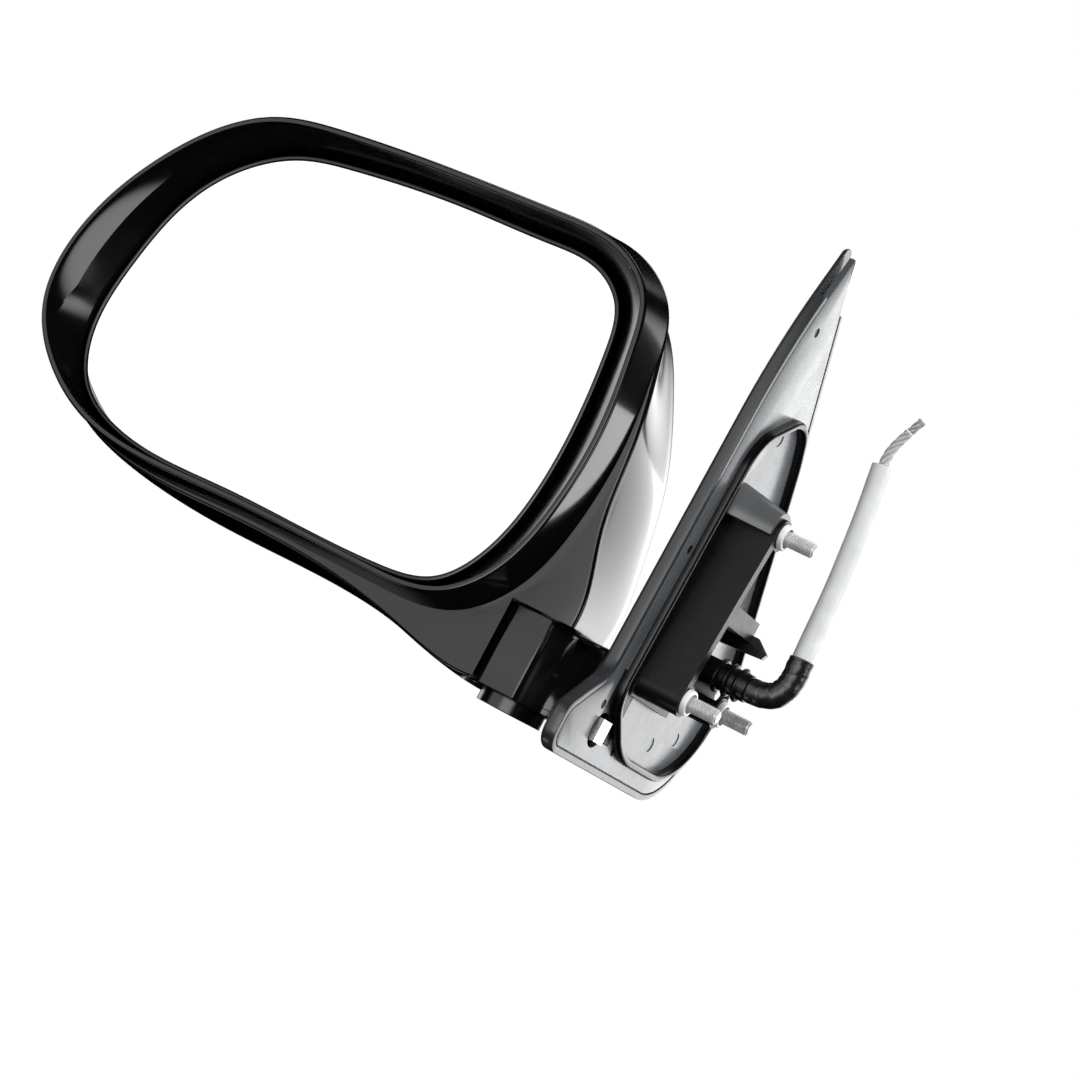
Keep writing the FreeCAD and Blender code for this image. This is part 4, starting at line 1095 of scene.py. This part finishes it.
ball_centre = (ball_low + ball_high)[[0, 2]] / 2
sockets = [drive_socket("ball_socket", ball_centre, 12.0, 8.6, holder_high[1])]
for name in ("plunger_pan", "plunger_tilt"):
    low, high = box_mm(name)
    sockets.append(drive_socket(f"{name}_ring", (low + high)[[0, 2]] / 2, 6.6, 4.8, HOLDER_BACK + 3))
holder_gloss = gloss_moulding("holder_black_satin", "#060607", "#101113", 0.2, 0.36, 0.015)
finish(tray, holder_gloss, "glass", "holder_black", "glass_holder")
for ring_piece in sockets:
    finish(ring_piece, holder_gloss, "glass", "holder_black")


def pad_foam():
    """Grey double-sided foam: open fine cells with a chalky face."""
    made, tree, shader = material("pad_grey_foam", Roughness=0.85)
    cells = mottle(tree, 0.7, 5.0)
    two_tone(tree, shader, cells, "#4A4B4C", "#77797A")
    relief(tree, shader, cells, 0.2)
    return made


dress_node("adhesive_pad", pad_foam())


# ---------------------------------------------------------------- mirror glass
# Two-millimetre float glass with a chromed front face. Its edge is ground to a small arris.

glass_rows = [
    at_depth(glass_loop(-0.5), glass_high[1]), at_depth(glass_loop(0.0), glass_high[1] - 0.3),
    at_depth(glass_loop(0.0), glass_low[1] + 0.35), at_depth(glass_loop(-0.35), glass_low[1]),
]
glass = skin("mirror_glass_plate", np.stack(glass_rows), crease=20.0)


def mirror_chrome():
    """First-surface chrome on glass: nearly perfect reflection with a trace of cold tint, and the
    faintest film of polishing haze."""
    made, tree, shader = material("glass_chromed_face", Metallic=1.0)
    haze = mottle(tree, 40.0, 3.0)
    two_tone(tree, shader, haze, "#F3F6F7", "#FDFEFE")
    vary_gloss(tree, shader, haze, 0.004, 0.02)
    return made


finish(glass, mirror_chrome(), "glass", "mirror", "mirror_glass")


# ---------------------------------------------------------------- studio
# A plain pale floor, a surround that is white to the camera, and soft lamps. Polished faces see it
# black but for nine soft patches, and a small lamp between head and sail lights the inboard wall.

FLOOR_DROP = 0.06
floor_z = cad_low[2] - FLOOR_DROP
floor = mesh_piece("floor", np.array([(-2, -2, 0), (2, -2, 0), (2, 2, 0), (-2, 2, 0)]) / MM
                   + np.array([0, 0, floor_z / MM]), [[0, 1, 2, 3]])
floor.visible_glossy = False
floor.visible_diffuse = False


def floor_white():
    """Matt white floor whose own light lifts it to the surround's white but keeps a soft shadow."""
    made, tree, shader = material("floor_matt_white", Roughness=0.9, Specular_IOR_Level=0.1)
    cloud = mottle(tree, 300.0, 2.0)
    two_tone(tree, shader, cloud, "#F4F4F4", "#FAFAFA")
    shader.inputs["Emission Color"].default_value = (1.0, 1.0, 1.0, 1.0)
    shader.inputs["Emission Strength"].default_value = 0.85
    return made


give(floor, floor_white())


def lobe(tree, direction, aim, wide, soft, strength):
    """A soft round patch of the surround: 1 within wide degrees of the aim, and 0 soft degrees beyond."""
    aim = Vector(aim).normalized()
    dot = add(tree, "VectorMath", operation="DOT_PRODUCT")
    tree.links.new(direction, dot.inputs[0])
    dot.inputs[1].default_value = aim
    return add(tree, "MapRange", interpolation_type="SMOOTHSTEP", Value=dot.outputs["Value"],
               From_Min=float(np.cos(np.radians(wide + soft))), From_Max=float(np.cos(np.radians(wide))),
               To_Min=0.0, To_Max=strength).outputs["Result"]


def combine(tree, operation, first, second):
    """One Math node on two sockets or numbers."""
    made = add(tree, "Math", operation=operation)
    for socket, value in zip(made.inputs, (first, second)):
        if isinstance(value, bpy.types.NodeSocket):
            tree.links.new(value, socket)
        else:
            socket.default_value = value
    return made.outputs[0]


world = bpy.data.worlds.new("studio")
world.use_nodes = True
bpy.context.scene.world = world
sky = world.node_tree
sky.nodes.clear()
direction = add(sky, "TexCoord").outputs["Generated"]
rays = add(sky, "LightPath")
PATCHES = [
    # aim, width and softness in degrees, strength: the card behind the camera, the far wall, the window
    # beyond the sail, and small strips that draw the edges
    ((-0.45, -0.89, 0.07), 24, 14, 1.2),
    ((0.25, 0.96, 0.05), 15, 14, 3.5),
    ((0.45, 0.89, 0.10), 14, 12, 2.6),
    ((0.98, 0.08, 0.10), 6, 9, 5.0),
    ((-0.90, 0.43, 0.07), 9, 9, 2.0),
    ((-0.42, 0.09, 0.89), 3, 5, 9.0),
    ((-0.42, -0.05, -0.89), 4, 6, 2.5),
    ((0.02, 0.60, 0.80), 9, 9, 2.0),
    ((0.07, -0.98, -0.12), 14, 13, 3.6),
]
pattern = lobe(sky, direction, *PATCHES[0])
for patch in PATCHES[1:]:
    pattern = combine(sky, "MAXIMUM", pattern, lobe(sky, direction, *patch))
glossy = combine(sky, "MULTIPLY", rays.outputs["Is Glossy Ray"], pattern)
plain = combine(sky, "MAXIMUM", rays.outputs["Is Camera Ray"], rays.outputs["Is Transmission Ray"])
fill = combine(sky, "MULTIPLY", rays.outputs["Is Diffuse Ray"], 0.45)
strength = combine(sky, "MAXIMUM", combine(sky, "MAXIMUM", plain, glossy), fill)
surround = add(sky, "Background", Color=(1.0, 1.0, 1.0, 1.0), Strength=strength)
sky.links.new(surround.outputs[0], add(sky, "OutputWorld").inputs["Surface"])


def lamp(name, place, size, power, aim=(-0.12, 0.0, 0.02)):
    """A square soft lamp that points at the object and is not seen itself."""
    light = bpy.data.lights.new(name, "AREA")
    light.shape = "SQUARE"
    light.size = size
    light.energy = power
    holder = bpy.data.objects.new(name, light)
    holder.location = place
    holder.rotation_mode = "QUATERNION"
    holder.rotation_quaternion = (Vector(aim) - Vector(place)).to_track_quat("-Z", "Y")
    holder.visible_camera = False
    holder.visible_glossy = False
    bpy.context.scene.collection.objects.link(holder)
    return holder


lamp("key_lamp", (0.9, -1.1, 1.3), 0.9, 26.0)
lamp("fill_lamp", (1.5, 0.6, 0.4), 1.0, 14.0)
lamp("floor_lamp", (-0.2, 0.1, 1.6), 1.2, 8.0)
strip = lamp("strip_between_head_and_sail", (-0.0295, 0.03, 0.005), 0.11, 0.16, (-0.2, 0.03, 0.005))
strip.visible_glossy = True

bpy.context.scene.view_settings.view_transform = "Standard"
